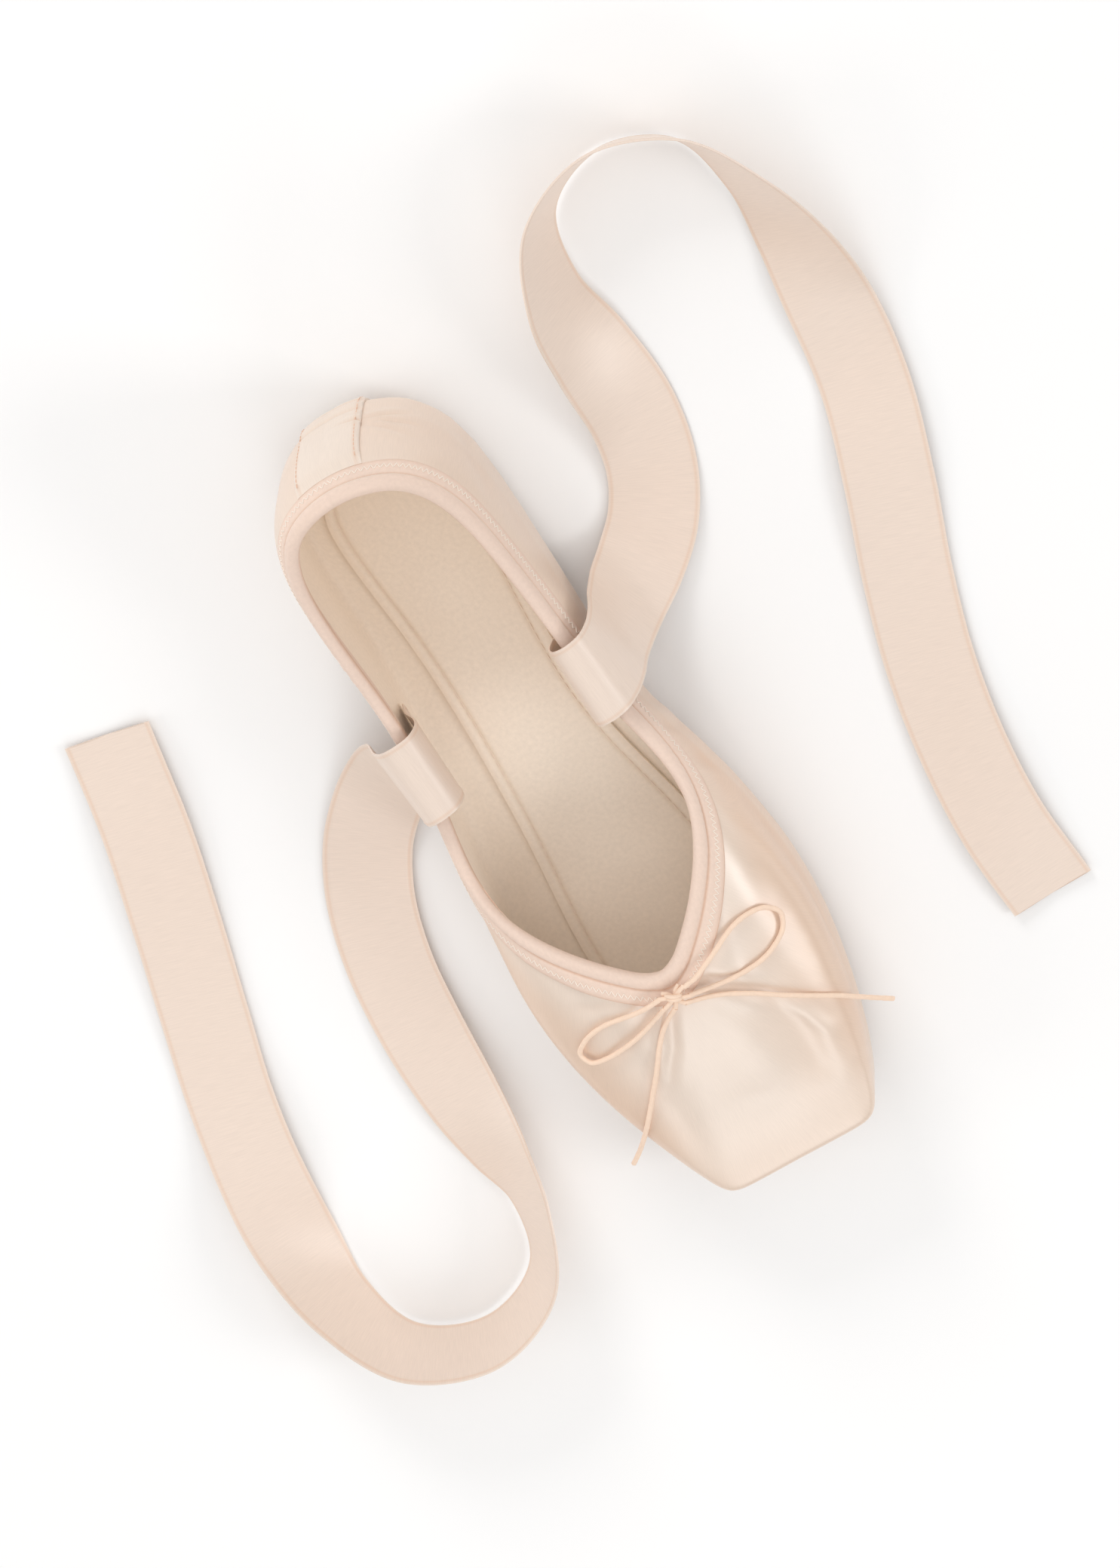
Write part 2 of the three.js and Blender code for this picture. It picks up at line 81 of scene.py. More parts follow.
def lengthAlong(points, axis=0):
    # length gone along rows of points, from 0 at the first
    steps = np.linalg.norm(np.diff(points, axis=axis), axis=-1)
    start = np.zeros_like(np.take(steps, [0], axis=axis))
    return np.concatenate([start, np.cumsum(steps, axis=axis)], axis=axis)


def pointsAt(at, far, line):
    # a line's points, or anything else given along it, at new lengths
    return np.stack([np.interp(at, far, line[:, k]) for k in range(line.shape[1])], axis=1)


def gridFaces(n, m, wrapRows, wrapColumns, start=0):
    # four-cornered faces between neighbouring points of an n by m grid
    i = np.arange(n if wrapRows else n - 1)[:, None]
    j = np.arange(m if wrapColumns else m - 1)[None, :]
    i2, j2 = (i + 1) % n, (j + 1) % m
    corners = np.stack([i * m + j, i2 * m + j, i2 * m + j2, i * m + j2], axis=-1)
    return start + corners.reshape(-1, 4)


def addMesh(name, points, faces, uv=None, marks=None, material=None, sharp=50):
    # points in mm, faces a list of arrays of point numbers; the whole is turned to face outwards
    points = np.asarray(points, float).reshape(-1, 3)
    volume = 0.0
    for f in faces:
        a = points[f[:, 0]]
        for k in range(1, f.shape[1] - 1):
            volume += np.einsum("ij,ij->i", a, np.cross(points[f[:, k]], points[f[:, k + 1]])).sum()
    if volume < 0:
        faces = [f[:, ::-1] for f in faces]
    sizes = np.concatenate([np.full(len(f), f.shape[1]) for f in faces])
    loops = np.concatenate([f.ravel() for f in faces]).astype(np.int32)
    mesh = bpy.data.meshes.new(name)
    mesh.vertices.add(len(points))
    mesh.vertices.foreach_set("co", (points * mm).astype(np.float32).ravel())
    mesh.loops.add(len(loops))
    mesh.loops.foreach_set("vertex_index", loops)
    mesh.polygons.add(len(sizes))
    mesh.polygons.foreach_set("loop_start", np.concatenate([[0], np.cumsum(sizes)[:-1]]).astype(np.int32))
    mesh.update(calc_edges=True)
    if uv is not None:
        layer = mesh.uv_layers.new(name="threads")
        layer.data.foreach_set("uv", np.asarray(uv, np.float32).reshape(-1, 2)[loops].ravel())
    for key, values in (marks or {}).items():
        mark = mesh.attributes.new(key, "FLOAT", "POINT")
        mark.data.foreach_set("value", np.asarray(values, np.float32).ravel())
    mesh.validate()
    mesh.polygons.foreach_set("use_smooth", np.ones(len(mesh.polygons), bool))
    mesh.set_sharp_from_angle(angle=math.radians(sharp))
    obj = bpy.data.objects.new(name, mesh)
    bpy.context.scene.collection.objects.link(obj)
    if material:
        mesh.materials.append(material)
    return obj


def place(obj, slot, *nodes):
    # gives a piece its body and hides the CAD nodes that it stands for; slot is not used
    if nodes:
        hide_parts(*nodes)
    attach(obj, "root")
    return obj


def bump(x, middle, width):
    # bell curve, one high
    return np.exp(-(((x - middle) / width) ** 2))


def ramp(x, low, high):
    # smooth step from 0 at low to 1 at high
    t = np.clip((x - low) / (high - low), 0, 1)
    return t * t * (3 - 2 * t)


def colour(r, g, b):
    # picture colour, 0 to 255, to a linear one
    c = np.array([r, g, b]) / 255
    return (*np.where(c <= 0.04045, c / 12.92, ((c + 0.055) / 1.055) ** 2.4), 1)


def node(tree, kind, at=(0, 0), **settings):
    # a new node; each setting is an input's value where it has such an input, or else an option
    n = tree.nodes.new(kind)
    n.location = at
    for key, value in settings.items():
        if key in n.inputs:
            n.inputs[key].default_value = value
        else:
            setattr(n, key, value)
    return n


def mapRange(tree, at, come, go):
    # a Map Range node from one pair of limits to another
    n = node(tree, "ShaderNodeMapRange", at)
    for key, value in zip(("From Min", "From Max", "To Min", "To Max"), (*come, *go)):
        n.inputs[key].default_value = value
    return n


def multiplied(tree, at, first, second):
    # one colour times another
    n = node(tree, "ShaderNodeMix", at, data_type="RGBA", blend_type="MULTIPLY")
    n.inputs["Factor"].default_value = 1.0
    tree.links.new(first, n.inputs["A"])
    tree.links.new(second, n.inputs["B"])
    return n.outputs["Result"]


weave = {
    "threadScale": 1000.0, "slubScale": 90.0,    # noise cells to the metre
    "noise": (0.3, 0.7), "tone": (0.96, 1.03),   # most of the noise's range, and the tone that it gives
    "relief": 0.00008,                           # height of the threads in metres
}


def clothGroup(s):
    # fine threads along one direction of the cloth, with slubs, as a height and a grey value near 1
    g = bpy.data.node_groups.new("cloth threads", "ShaderNodeTree")
    sockets = g.interface
    sockets.new_socket("Place", in_out="INPUT", socket_type="NodeSocketVector")
    for name, value in (("Threads", 2.5), ("Cross", 0.3), ("Slubs", 0.05)):
        sockets.new_socket(name, in_out="INPUT", socket_type="NodeSocketFloat").default_value = value
    for name in ("Height", "Tone"):
        sockets.new_socket(name, in_out="OUTPUT", socket_type="NodeSocketFloat")
    come, go = node(g, "NodeGroupInput", (-900, 0)), node(g, "NodeGroupOutput", (500, 0))
    scale = node(g, "ShaderNodeCombineXYZ", (-700, -100), Z=1.0)
    g.links.new(come.outputs["Threads"], scale.inputs["X"])
    g.links.new(come.outputs["Cross"], scale.inputs["Y"])
    stretch = node(g, "ShaderNodeVectorMath", (-500, 0), operation="MULTIPLY")
    g.links.new(come.outputs["Place"], stretch.inputs[0])
    g.links.new(scale.outputs[0], stretch.inputs[1])
    threads = node(g, "ShaderNodeTexNoise", (-300, 100), Scale=s["threadScale"], Detail=3.0, Roughness=0.6)
    g.links.new(stretch.outputs[0], threads.inputs["Vector"])
    slubs = node(g, "ShaderNodeTexNoise", (-300, -200), Scale=s["slubScale"], Detail=2.0)
    g.links.new(come.outputs["Place"], slubs.inputs["Vector"])
    height = node(g, "ShaderNodeMath", (-50, 0), operation="MULTIPLY_ADD")
    g.links.new(slubs.outputs[0], height.inputs[0])
    g.links.new(come.outputs["Slubs"], height.inputs[1])
    g.links.new(threads.outputs[0], height.inputs[2])
    g.links.new(height.outputs[0], go.inputs["Height"])
    tone = mapRange(g, (150, -150), s["noise"], s["tone"])
    g.links.new(threads.outputs[0], tone.inputs["Value"])
    g.links.new(tone.outputs[0], go.inputs["Tone"])
    return g


clothThreads = clothGroup(weave)


def clothMaterial(name, s):
    # woven cloth on the piece's own threads: base colour mixed towards the deep colour by the fold mark, fine
    # bump
    mat = bpy.data.materials.new(name)
    mat.use_nodes = True
    t = mat.node_tree
    shader = t.nodes["Principled BSDF"]
    shader.location = (700, 0)
    for key, value in s["shader"].items():
        shader.inputs[key].default_value = value
    where = node(t, "ShaderNodeUVMap", (-700, 0), uv_map="threads")
    cloth = node(t, "ShaderNodeGroup", (-450, 0), node_tree=clothThreads)
    for key in ("Threads", "Cross", "Slubs"):
        cloth.inputs[key].default_value = s[key.lower()]
    t.links.new(where.outputs[0], cloth.inputs["Place"])
    # the fold mark is painted shade in folds, creases and recesses on the upper, binding, heel strip and
    # sock; on the ribbons' woven edge and the heel strip's stitches it is their own tone
    fold = node(t, "ShaderNodeAttribute", (-450, 300), attribute_name="fold")
    warm = node(t, "ShaderNodeMix", (0, 250), data_type="RGBA")
    warm.inputs["A"].default_value = colour(*s["base"])
    warm.inputs["B"].default_value = colour(*s["deep"])
    t.links.new(fold.outputs["Fac"], warm.inputs["Factor"])
    tint = multiplied(t, (250, 200), warm.outputs["Result"], cloth.outputs["Tone"])
    t.links.new(tint, shader.inputs["Base Color"])
    relief = node(t, "ShaderNodeBump", (350, -300), Strength=s["bump"], Distance=weave["relief"])
    t.links.new(cloth.outputs["Height"], relief.inputs["Height"])
    t.links.new(relief.outputs[0], shader.inputs["Normal"])
    return mat


# each cloth: tone on the flat and the deep tone that the fold mark brings in, on the satin, binding and
# lining a painted shade, how fine the noise is across and along the thread, and finish
satinSettings = {
    "base": (234, 216, 200), "deep": (224, 182, 148),
    "threads": 3.2, "cross": 0.16, "slubs": 0.5, "bump": 0.06,
    "shader": {"Roughness": 0.35, "IOR": 1.7, "Specular IOR Level": 0.9, "Sheen Weight": 0.05,
               "Sheen Roughness": 0.4, "Anisotropic": 0.35},
}
bindingSettings = {
    "base": (236, 212, 196), "deep": (206, 154, 116),
    "threads": 0.9, "cross": 0.9, "slubs": 0.3, "bump": 0.5,
    "shader": {"Roughness": 0.7, "Specular IOR Level": 0.35, "Sheen Weight": 0.12, "Sheen Roughness": 0.5},
}
liningSettings = {
    "base": (250, 236, 220), "deep": (224, 200, 172),
    "threads": 0.8, "cross": 0.8, "slubs": 0.4, "bump": 0.7,
    "shader": {"Roughness": 0.9, "Specular IOR Level": 0.2, "Sheen Weight": 0.2, "Sheen Roughness": 0.6},
}
cordSettings = {
    "base": (247, 219, 196), "deep": (226, 180, 144),
    "threads": 0.6, "cross": 1.2, "slubs": 0.3, "bump": 0.6,
    "shader": {"Roughness": 0.6, "Specular IOR Level": 0.35, "Sheen Weight": 0.12, "Sheen Roughness": 0.5},
}
ribbonSettings = {
    "base": (234, 215, 200), "deep": (224, 186, 156),
    "threads": 3.2, "cross": 0.16, "slubs": 0.3, "bump": 0.06,
    "shader": {"Roughness": 0.42, "IOR": 1.6, "Specular IOR Level": 0.8, "Sheen Weight": 0.05,
               "Sheen Roughness": 0.4, "Anisotropic": 0.3},
}
threadSettings = {
    "base": (250, 240, 228), "deep": (228, 172, 132),
    "threads": 0.6, "cross": 0.6, "slubs": 0.2, "bump": 0.3,
    "shader": {"Roughness": 0.55, "Specular IOR Level": 0.4, "Sheen Weight": 0.2, "Sheen Roughness": 0.5},
}
satin = clothMaterial("satin", satinSettings)
bindingCloth = clothMaterial("binding cloth", bindingSettings)
liningCloth = clothMaterial("lining cotton", liningSettings)
cordCotton = clothMaterial("cord cotton", cordSettings)
ribbonSatin = clothMaterial("ribbon satin", ribbonSettings)
thread = clothMaterial("sewing thread", threadSettings)
print("materials ready")


def smoothPath(route, step):
    # Catmull-Rom spline through the route's points with square-root spacing, sampled evenly by length
    p = np.asarray(route, float)
    chord = np.sqrt(np.linalg.norm(np.diff(p[:, :3], axis=0), axis=1))
    knots = np.concatenate([[0], np.cumsum(chord)])
    slope = np.gradient(p, knots, axis=0)
    fine = np.linspace(0, knots[-1], 40 * len(p))
    k = np.clip(np.searchsorted(knots, fine, side="right") - 1, 0, len(p) - 2)
    h = (knots[k + 1] - knots[k])[:, None]
    t = (fine - knots[k])[:, None] / h
    out = ((2 * t**3 - 3 * t**2 + 1) * p[k] + (t**3 - 2 * t**2 + t) * h * slope[k]
           + (3 * t**2 - 2 * t**3) * p[k + 1] + (t**3 - t**2) * h * slope[k + 1])
    far = lengthAlong(out[:, :3])
    even = np.linspace(0, far[-1], max(8, int(far[-1] / step)))
    return pointsAt(even, far, out), even


def sweepRings(path, across, outline, widths=None):
    # carries a closed outline (sideways, outwards) along a path; across is the sideways direction
    along = unit(np.gradient(path, axis=0))
    side = unit(across - along * (across * along).sum(1, keepdims=True))
    face = np.cross(along, side)
    w = np.ones(len(path)) if widths is None else widths
    return (path[:, None] + side[:, None] * (outline[None, :, 0:1] * w[:, None, None])
            + face[:, None] * (outline[None, :, 1:2] * w[:, None, None]))


def tubeMesh(rings, start=0):
    # faces of a closed tube with a point in the middle of each end
    n, m = rings.shape[:2]
    ends = np.stack([rings[0].mean(0), rings[-1].mean(0)])
    points = np.concatenate([rings.reshape(-1, 3), ends])
    j = np.arange(m)
    first = np.stack([np.full(m, n * m), (j + 1) % m, j], axis=1)
    final = np.stack([np.full(m, n * m + 1), (n - 1) * m + j, (n - 1) * m + (j + 1) % m], axis=1)
    return points, [gridFaces(n, m, False, True) + start, first + start, final + start]


def capped(values):
    # a value for each point of a tube, and nought for the two in the middle of its ends
    return np.concatenate([np.ravel(values), [0, 0]])


def joined(parts):
    # several tubes in one mesh
    points, quads, tris = [], [], []
    count = 0
    for rings in parts:
        p, (q, a, b) = tubeMesh(rings, count)
        points.append(p)
        quads.append(q)
        tris += [a, b]
        count += len(p)
    return np.concatenate(points), [np.concatenate(quads), np.concatenate(tris)]


cord = {
    "thick": 1.4, "flat": 0.86,        # width in mm, and height as a share of it
    "sides": 16, "step": 0.5, "uneven": 0.05,
    "routes": {
        "drawstring_loop_left": [
            (53.4, 3.6, 49.9), (52.8, 7.6, 49.4), (51.2, 11.6, 48.7), (49.5, 15.8, 47.5),
            (47.9, 19.6, 45.7), (46.9, 23.2, 44.1), (46.8, 27.3, 42.3), (48.2, 31.4, 40.4),
            (52, 33.9, 38.9), (56.2, 32.1, 39), (58.8, 28, 40.5), (60, 23.8, 41.9), (60.1, 20, 43.2),
            (59.6, 15.6, 44.8), (58.8, 11.2, 45.9), (57.7, 7, 47.1), (56.4, 3.4, 49.1)],
        "drawstring_loop_right": [
            (53.2, -3.6, 49.9), (53.9, -7.8, 48.9), (54.3, -12, 47.3), (54.2, -15.9, 46),
            (54.2, -20.4, 44.3), (55, -24.9, 42.4), (56.9, -29.4, 40.4), (60.1, -32.7, 38.5),
            (63.5, -31.5, 38.6), (64, -26.8, 40.4), (63.4, -22.3, 41.9), (62.2, -17.7, 43.7),
            (60.7, -13.4, 45.2), (58.8, -9, 46.5), (56.3, -3.9, 49.1)],
        "drawstring_end_left": [
            (57.6, 1.6, 49.6), (59.6, 5.6, 47), (61.9, 10, 45.3), (64.8, 14.4, 44.1), (68.3, 18.5, 42.3),
            (71.8, 22.2, 40.6), (75.4, 26.3, 38.7), (78.9, 30.2, 36.4), (82.9, 34.1, 33.2),
            (88.3, 38.6, 29), (94, 43.5, 24.5)],
        "drawstring_end_right": [
            (57.5, -1.4, 49.6), (60, -5, 47.1), (63, -8.7, 45.2), (66.8, -12.1, 43.9), (70.6, -15, 42.6),
            (74.2, -17.7, 41.2), (79.1, -21.7, 39), (83.5, -25.3, 37.1), (87.9, -29, 34.8),
            (92.4, -33, 31.2), (96.3, -36.8, 27.4), (100, -41, 23.8)],
    },
}


def ringUv(far, outline):
    # u along the piece, v round it, in metres
    u, v = np.meshgrid(far * mm, lengthAlong(outline) * mm, indexing="ij")
    return np.concatenate([np.stack([u, v], -1).reshape(-1, 2), [[far[0] * mm, 0], [far[-1] * mm, 0]]])


def makeCords(s):
    # a flattened round section, a little uneven, carried along each route
    turn = np.linspace(0, 2 * np.pi, s["sides"], endpoint=False)
    outline = np.stack([np.cos(turn), s["flat"] * np.sin(turn)], axis=1) * s["thick"] / 2
    made = {}
    for name, route in s["routes"].items():
        path, far = smoothPath(route, s["step"])
        along = unit(np.gradient(path, axis=0))
        across = np.cross(np.tile([0.0, 0, 1], (len(path), 1)), along)
        widths = 1 + s["uneven"] * np.sin(far * 2.1) * np.sin(far * 0.73)
        points, faces = tubeMesh(sweepRings(path, across, outline, widths))
        obj = addMesh(name.replace("drawstring", "cord"), points, faces, ringUv(far, outline),
                      {"fold": np.zeros(len(points))}, cordCotton)
        made[name] = (obj, path, far)
    return made


cords = makeCords(cord)

ribbon = {
    "wide": 24.0, "thick": 0.5,
    "selvedge": 0.75, "rim": 0.15, "hem": 0.9, "shade": 0.45,  # the woven edge: thickness, places and tone
    "step": 1.2, "lyingFrom": (70, 100),       # the part that hangs from the shoe ends between these lengths
    "sway": 0.3, "curl": 0.35, "swell": 1.1,   # heights of the edges' waves, of the curl and of the swells
    # each route: place, heading and roll in degrees
    "routes": {
        "ribbon_left": [
            (-30, 25.6, 17, 90, 0), (-30, 24.2, 25, 90, 0), (-30, 21.2, 33, 90, 0), (-30, 20.6, 38.6, 90, 0),
            (-30.2, 22.4, 42.8, 90, 0), (-30.5, 26.4, 44.2, 90, 0), (-31, 30.6, 42.8, 91, 0),
            (-31.6, 33.4, 38, 93, 0), (-32.3, 35, 30.5, 96, 0), (-33.4, 36, 20, 100, 0),
            (-35.6, 39.6, 10, 108, 0),
            (-40, 46.5, 3.2, 122, 0), (-48, 55, 0.9, 140, 0), (-60, 62, 0.9, 158, 2), (-76, 66, 2.8, 172, 10),
            (-96, 66.5, 6.6, 179, 30), (-115, 66.5, 10.4, 174, 55), (-136.2, 75, 12, 135, 72),
            (-145, 96, 12.2, 90, 75), (-136.2, 117.2, 12, 45, 72), (-115, 126, 10.4, 6, 55),
            (-95, 127.5, 6.6, -1, 30), (-76, 126, 2.8, -5, 10), (-50, 121.5, 0.9, -13, 0),
            (-25, 113.5, 0.9, -20, 0),
            (0, 104, 0.9, -19, 0), (24, 96.5, 0.9, -14, 0), (48, 91.8, 0.9, -8, 0), (73, 89.6, 0.9, -2, 0),
            (98, 90.5, 0.9, 5, 0)],
        "ribbon_right": [
            (-30, -25.6, 17, -90, 0), (-30, -24.2, 25, -90, 0), (-30, -21.2, 33, -90, 0),
            (-30, -20.6, 38.6, -90, 0), (-29.8, -22.4, 42.8, -90, 0), (-29.5, -26.4, 44.2, -90, 0),
            (-29, -30.6, 42.8, -89, 0), (-28.4, -33.4, 38, -87, 0), (-27.6, -35, 30.5, -84, 0),
            (-26.2, -37, 20, -79, 0), (-23.2, -41.6, 10, -70, 0), (-17.2, -49.6, 3.2, -56, 0),
            (-8, -58.5, 0.9, -42, 0), (6, -66.5, 0.9, -24, 0), (24, -72, 0.9, -12, 0),
            (44, -74.5, 1.6, -4, 3),
            (64, -75, 3.8, 0, 16), (83, -74.5, 7.6, 2, 36), (100, -74.5, 10.8, -6, 58),
            (121.2, -83.3, 12, -45, 72), (130, -104.5, 12.2, -90, 75), (121.2, -125.7, 12, -135, 72),
            (100, -134.5, 10.4, -174, 55), (80, -136, 6.6, -181, 30), (60, -134.5, 2.8, -185, 10),
            (36, -130, 0.9, -191, 0), (12, -123, 0.9, -196, 0), (-14, -115, 0.9, -197, 0),
            (-42, -107, 0.9, -194, 0), (-70, -101.5, 0.9, -188, 0)],
    },
}


def ribbonOutline(s):
    # flat band with a slightly thicker woven edge at each side
    half, thin, edge = s["wide"] / 2, s["thick"] / 2, s["selvedge"] / 2
    inner = half - s["hem"]
    side = np.concatenate([[-half, s["rim"] - half], np.linspace(-inner, inner, 35), [half - s["rim"], half]])
    fromEdge = half - np.abs(side)
    high = np.where(fromEdge < s["rim"] * 1.3, edge * 0.6, np.where(fromEdge < s["hem"] * 1.3, edge, thin))
    upper = np.stack([side, high], axis=1)
    lower = np.stack([side, -high], axis=1)[::-1]
    return np.concatenate([upper, lower])


def makeRibbons(s):
    # the band carried along each route, with waves in its edges and long slanting swells where it lies flat
    outline = ribbonOutline(s)
    side = (outline[:, 0] / (s["wide"] / 2))[None]
    made = {}
    for name, route in s["routes"].items():
        path, far = smoothPath(route, s["step"])
        heading, roll = np.radians(path[:, 3]), np.radians(path[:, 4])
        path = path[:, :3]
        flat = np.cos(roll)
        across = np.stack([-np.sin(heading) * flat, np.cos(heading) * flat, np.sin(roll)], axis=1)
        rings = sweepRings(path, across, outline)
        lying = ramp(far, *s["lyingFrom"])[:, None]
        wave = s["sway"] * np.sin(far / 19 + 2 * np.sin(far / 57))[:, None] * side + s["curl"] * side ** 2
        swell = s["swell"] * (1 + np.sin((far / 11 + 1.7 * np.sin(far / 43))[:, None] + 0.8 * side))
        lowest = -0.25 * ramp(rings[..., 2], 2, 6)  # an edge near the floor doesn't sink
        rings[..., 2] += np.maximum(wave * lying, lowest) + swell * flat[:, None] ** 2 * lying
        points, faces = tubeMesh(rings)
        woven = np.broadcast_to(s["shade"] * bump(np.abs(side), 0.93, 0.025), rings.shape[:2])
        obj = addMesh(name.replace("ribbon", "satin_ribbon"), points, faces, ringUv(far, outline),
                      {"fold": capped(woven)}, ribbonSatin)
        made[name] = (obj, path, far)
    return made


ribbons = makeRibbons(ribbon)
print("cords and ribbons ready")


# the last's form, as in the CAD
last = {
    "rows": np.array([
        # soleX soleY bellyX bellyY bellyH shoulderH edgeX edgeY edgeH low high crown
        [-102, 0, -118.2, 0, 22, 48, -112, 0, 60.5, 0.9, 0.9, 0],
        [-101, 10, -115.3, 13.5, 22, 47, -109.6, 11, 59.5, 0.9, 0.9, 0],
        [-97.5, 17.8, -106.2, 23, 21, 45, -102, 19, 55.5, 0.9, 0.9, 0],
        [-84, 20.5, -88, 28, 20, 39, -84.5, 24, 49, 0.9, 0.9, 0],
        [-55, 18.7, -56, 28.5, 19, 32, -54, 25.2, 41, 0.9, 0.9, 0],
        [-25, 17.6, -25, 29.8, 18, 28, -24, 26.8, 33, 0.9, 0.9, 0],
        [5, 20.5, 5, 34.8, 17, 29, 0, 31, 35, 0.9, 0.9, 0],
        [40, 25.6, 42, 40, 16.5, 33.5, 19, 27.6, 41.6, 0.9, 0.85, 0.6],
        [68, 25.4, 73, 37.8, 16, 35, 34, 17.8, 44.8, 0.85, 0.7, 1.2],
        [89, 20, 98, 31.6, 14.5, 32, 42.3, 10, 46.2, 0.7, 0.5, 1.6],
        [98.5, 13, 112, 26.4, 13, 28, 46.2, 5.6, 46.7, 0.45, 0.3, 1.8],
        [102, 7, 118.6, 22.3, 12.5, 26.5, 48, 2.7, 46.9, 0.32, 0.2, 1.8],
        [102.8, 3.5, 120, 15, 12.5, 26.5, 48.8, 1.2, 47, 0.3, 0.18, 1.8],
        [103, 0, 120, 0, 12.5, 26.5, 49, 0, 47, 0.3, 0.18, 1.8],
    ]),
    "bottom": 3.3, "marginX": 0.915, "marginY": 0.55,
    "archHeight": 6.0, "archBack": -62.0, "archFront": 28.0, "springFrom": 92.0, "spring": 0.004,
    "seamAt": 4.55, "lap": 0.5, "wall": 2.2,
}
ringSize = 26
topGirth = 11.0


def soleProfile(x):
    # sine-squared arch at the waist, and a small parabola of toe spring
    t = np.clip((x - last["archBack"]) / (last["archFront"] - last["archBack"]), 0, 1)
    arch = last["archHeight"] * np.sin(np.pi * t) ** 2
    return arch + last["spring"] * np.maximum(0, x - last["springFrom"]) ** 2


def soleSlope(x):
    # how fast the profile climbs
    t = np.clip((x - last["archBack"]) / (last["archFront"] - last["archBack"]), 0, 1)
    span = last["archFront"] - last["archBack"]
    return (last["archHeight"] * np.pi / span * np.sin(2 * np.pi * t)
            + 2 * last["spring"] * np.maximum(0, x - last["springFrom"]))


def controlNet(s):
    # twelve points up each meridian, mirrored to a closed ring, then solved so that the spline meets each row
    r = s["rows"].T
    at = lambda x, y, z: np.stack([x, y, z + 0 * x], axis=1)
    mix = lambda a, b, k: a + (b - a) * k[:, None]
    low, high, crown = r[9], r[10], np.stack([0 * r[11], 0 * r[11], r[11]], axis=1)
    margin = at(r[0] * s["marginX"], r[1] * s["marginY"], s["bottom"])
    edgeOfSole = at(r[0], r[1], s["bottom"])
    under = at(r[2], r[3], s["bottom"])
    belly, shoulder, edge = at(r[2], r[3], r[4]), at(r[2], r[3], r[5]), at(r[6], r[7], r[8])
    over = mix(shoulder, edge, high)
    third = np.full(len(low), 1 / 3)
    half = np.stack([margin, edgeOfSole, mix(under, edgeOfSole, low), under, mix(under, belly, low), belly,
                     mix(shoulder, belly, high), shoulder, over, mix(over, edge, third) + crown,
                     mix(over, edge, 2 * third) + crown, edge], axis=1)
    ring = np.concatenate([half, half[-2:0:-1] * [1, -1, 1]])
    n = len(ring)
    eye = np.eye(n)
    passes = eye * 4 / 6 + np.roll(eye, 1, axis=0) / 6 + np.roll(eye, -1, axis=0) / 6
    net = np.linalg.solve(passes, ring.reshape(n, -1)).reshape(ring.shape)
    before = 2 * net[:, :1] - net[:, 1:2]
    after = 2 * net[:, -1:] - net[:, -2:-1]
    return np.concatenate([before, net, after], axis=1)  # one more point at each end of a meridian


net = controlNet(last)


def cubic(t):
    # the four weights of a uniform cubic B-spline, and below how fast each one changes
    weights = [(1 - t) ** 3, 3 * t**3 - 6 * t**2 + 4, -3 * t**3 + 3 * t**2 + 3 * t + 1, t**3]
    return np.stack(weights, axis=-1) / 6


def cubicSlope(t):
    return np.stack([-3 * (1 - t) ** 2, 9 * t**2 - 12 * t, -9 * t**2 + 6 * t + 3, 3 * t**2], axis=-1) / 6


def lastForm(rounds, girths):
    # tensor-product cubic B-spline: rounds (n) run round the shoe, girths (n, m) up each meridian
    rounds = np.asarray(rounds, float)
    girths = np.broadcast_to(girths, (len(rounds), np.shape(girths)[-1]))
    cell = np.floor(rounds).astype(int)
    ids = (cell[:, None] - 1 + np.arange(4)) % ringSize
    rows = np.einsum("nk,nkcd->ncd", cubic(rounds - cell), net[ids])
    rowSlopes = np.einsum("nk,nkcd->ncd", cubicSlope(rounds - cell), net[ids])
    g = np.minimum(np.floor(girths).astype(int), int(topGirth) - 1)
    pick = g[..., None] + np.arange(4)
    each = np.arange(len(rounds))[:, None, None]
    w, dw = cubic(girths - g), cubicSlope(girths - g)
    p = np.einsum("nmk,nmkd->nmd", w, rows[each, pick])
    up = np.einsum("nmk,nmkd->nmd", dw, rows[each, pick])
    onward = np.einsum("nmk,nmkd->nmd", w, rowSlopes[each, pick])
    slope = soleSlope(p[..., 0])
    up[..., 2] += slope * up[..., 0]
    onward[..., 2] += slope * onward[..., 0]
    p[..., 2] += soleProfile(p[..., 0])
    return p, unit(np.cross(up, onward)), up


def evenRounds(count):
    # places round the shoe, evenly spaced by length at the belly
    fine = np.linspace(0, ringSize, 2601)
    p, _, _ = lastForm(fine, [5.5])
    far = lengthAlong(p[:, 0])
    return np.interp(np.linspace(0, far[-1], count, endpoint=False), far, fine), far[-1]


def girthsBelowEdge(rounds, distances):
    # places on each meridian at given distances under the topline
    fine = np.linspace(topGirth, 4, 701)
    p, _, _ = lastForm(rounds, fine)
    far = lengthAlong(p, 1)
    each = np.arange(len(rounds))
    found = []
    for d in distances:
        k = np.clip((far < d).sum(axis=1), 1, len(fine) - 1)
        before, after = far[each, k - 1], far[each, k]
        t = np.clip((d - before) / np.maximum(after - before, 1e-9), 0, 1)
        found.append(fine[k - 1] + (fine[k] - fine[k - 1]) * t)
    return np.stack(found, axis=1)


def distanceUnderEdge(rounds, girths, count=440):
    # distance in mm from each place on a meridian up to the topline
    p, _, _ = lastForm(rounds, np.linspace(topGirth, 0, count + 1))
    nearest = np.round((topGirth - np.asarray(girths)) / topGirth * count).astype(int)
    return lengthAlong(p, 1)[:, np.clip(nearest, 0, count)]


def clothUv(p, turned=False):
    # u round the shoe and v up the meridian, in metres along the cloth
    u, v = lengthAlong(p, 0), lengthAlong(p, 1)
    middle = p.shape[1] // 2
    u = np.repeat(u[:, middle:middle + 1], p.shape[1], axis=1)
    return np.stack([v, u] if turned else [u, v], axis=-1) * mm


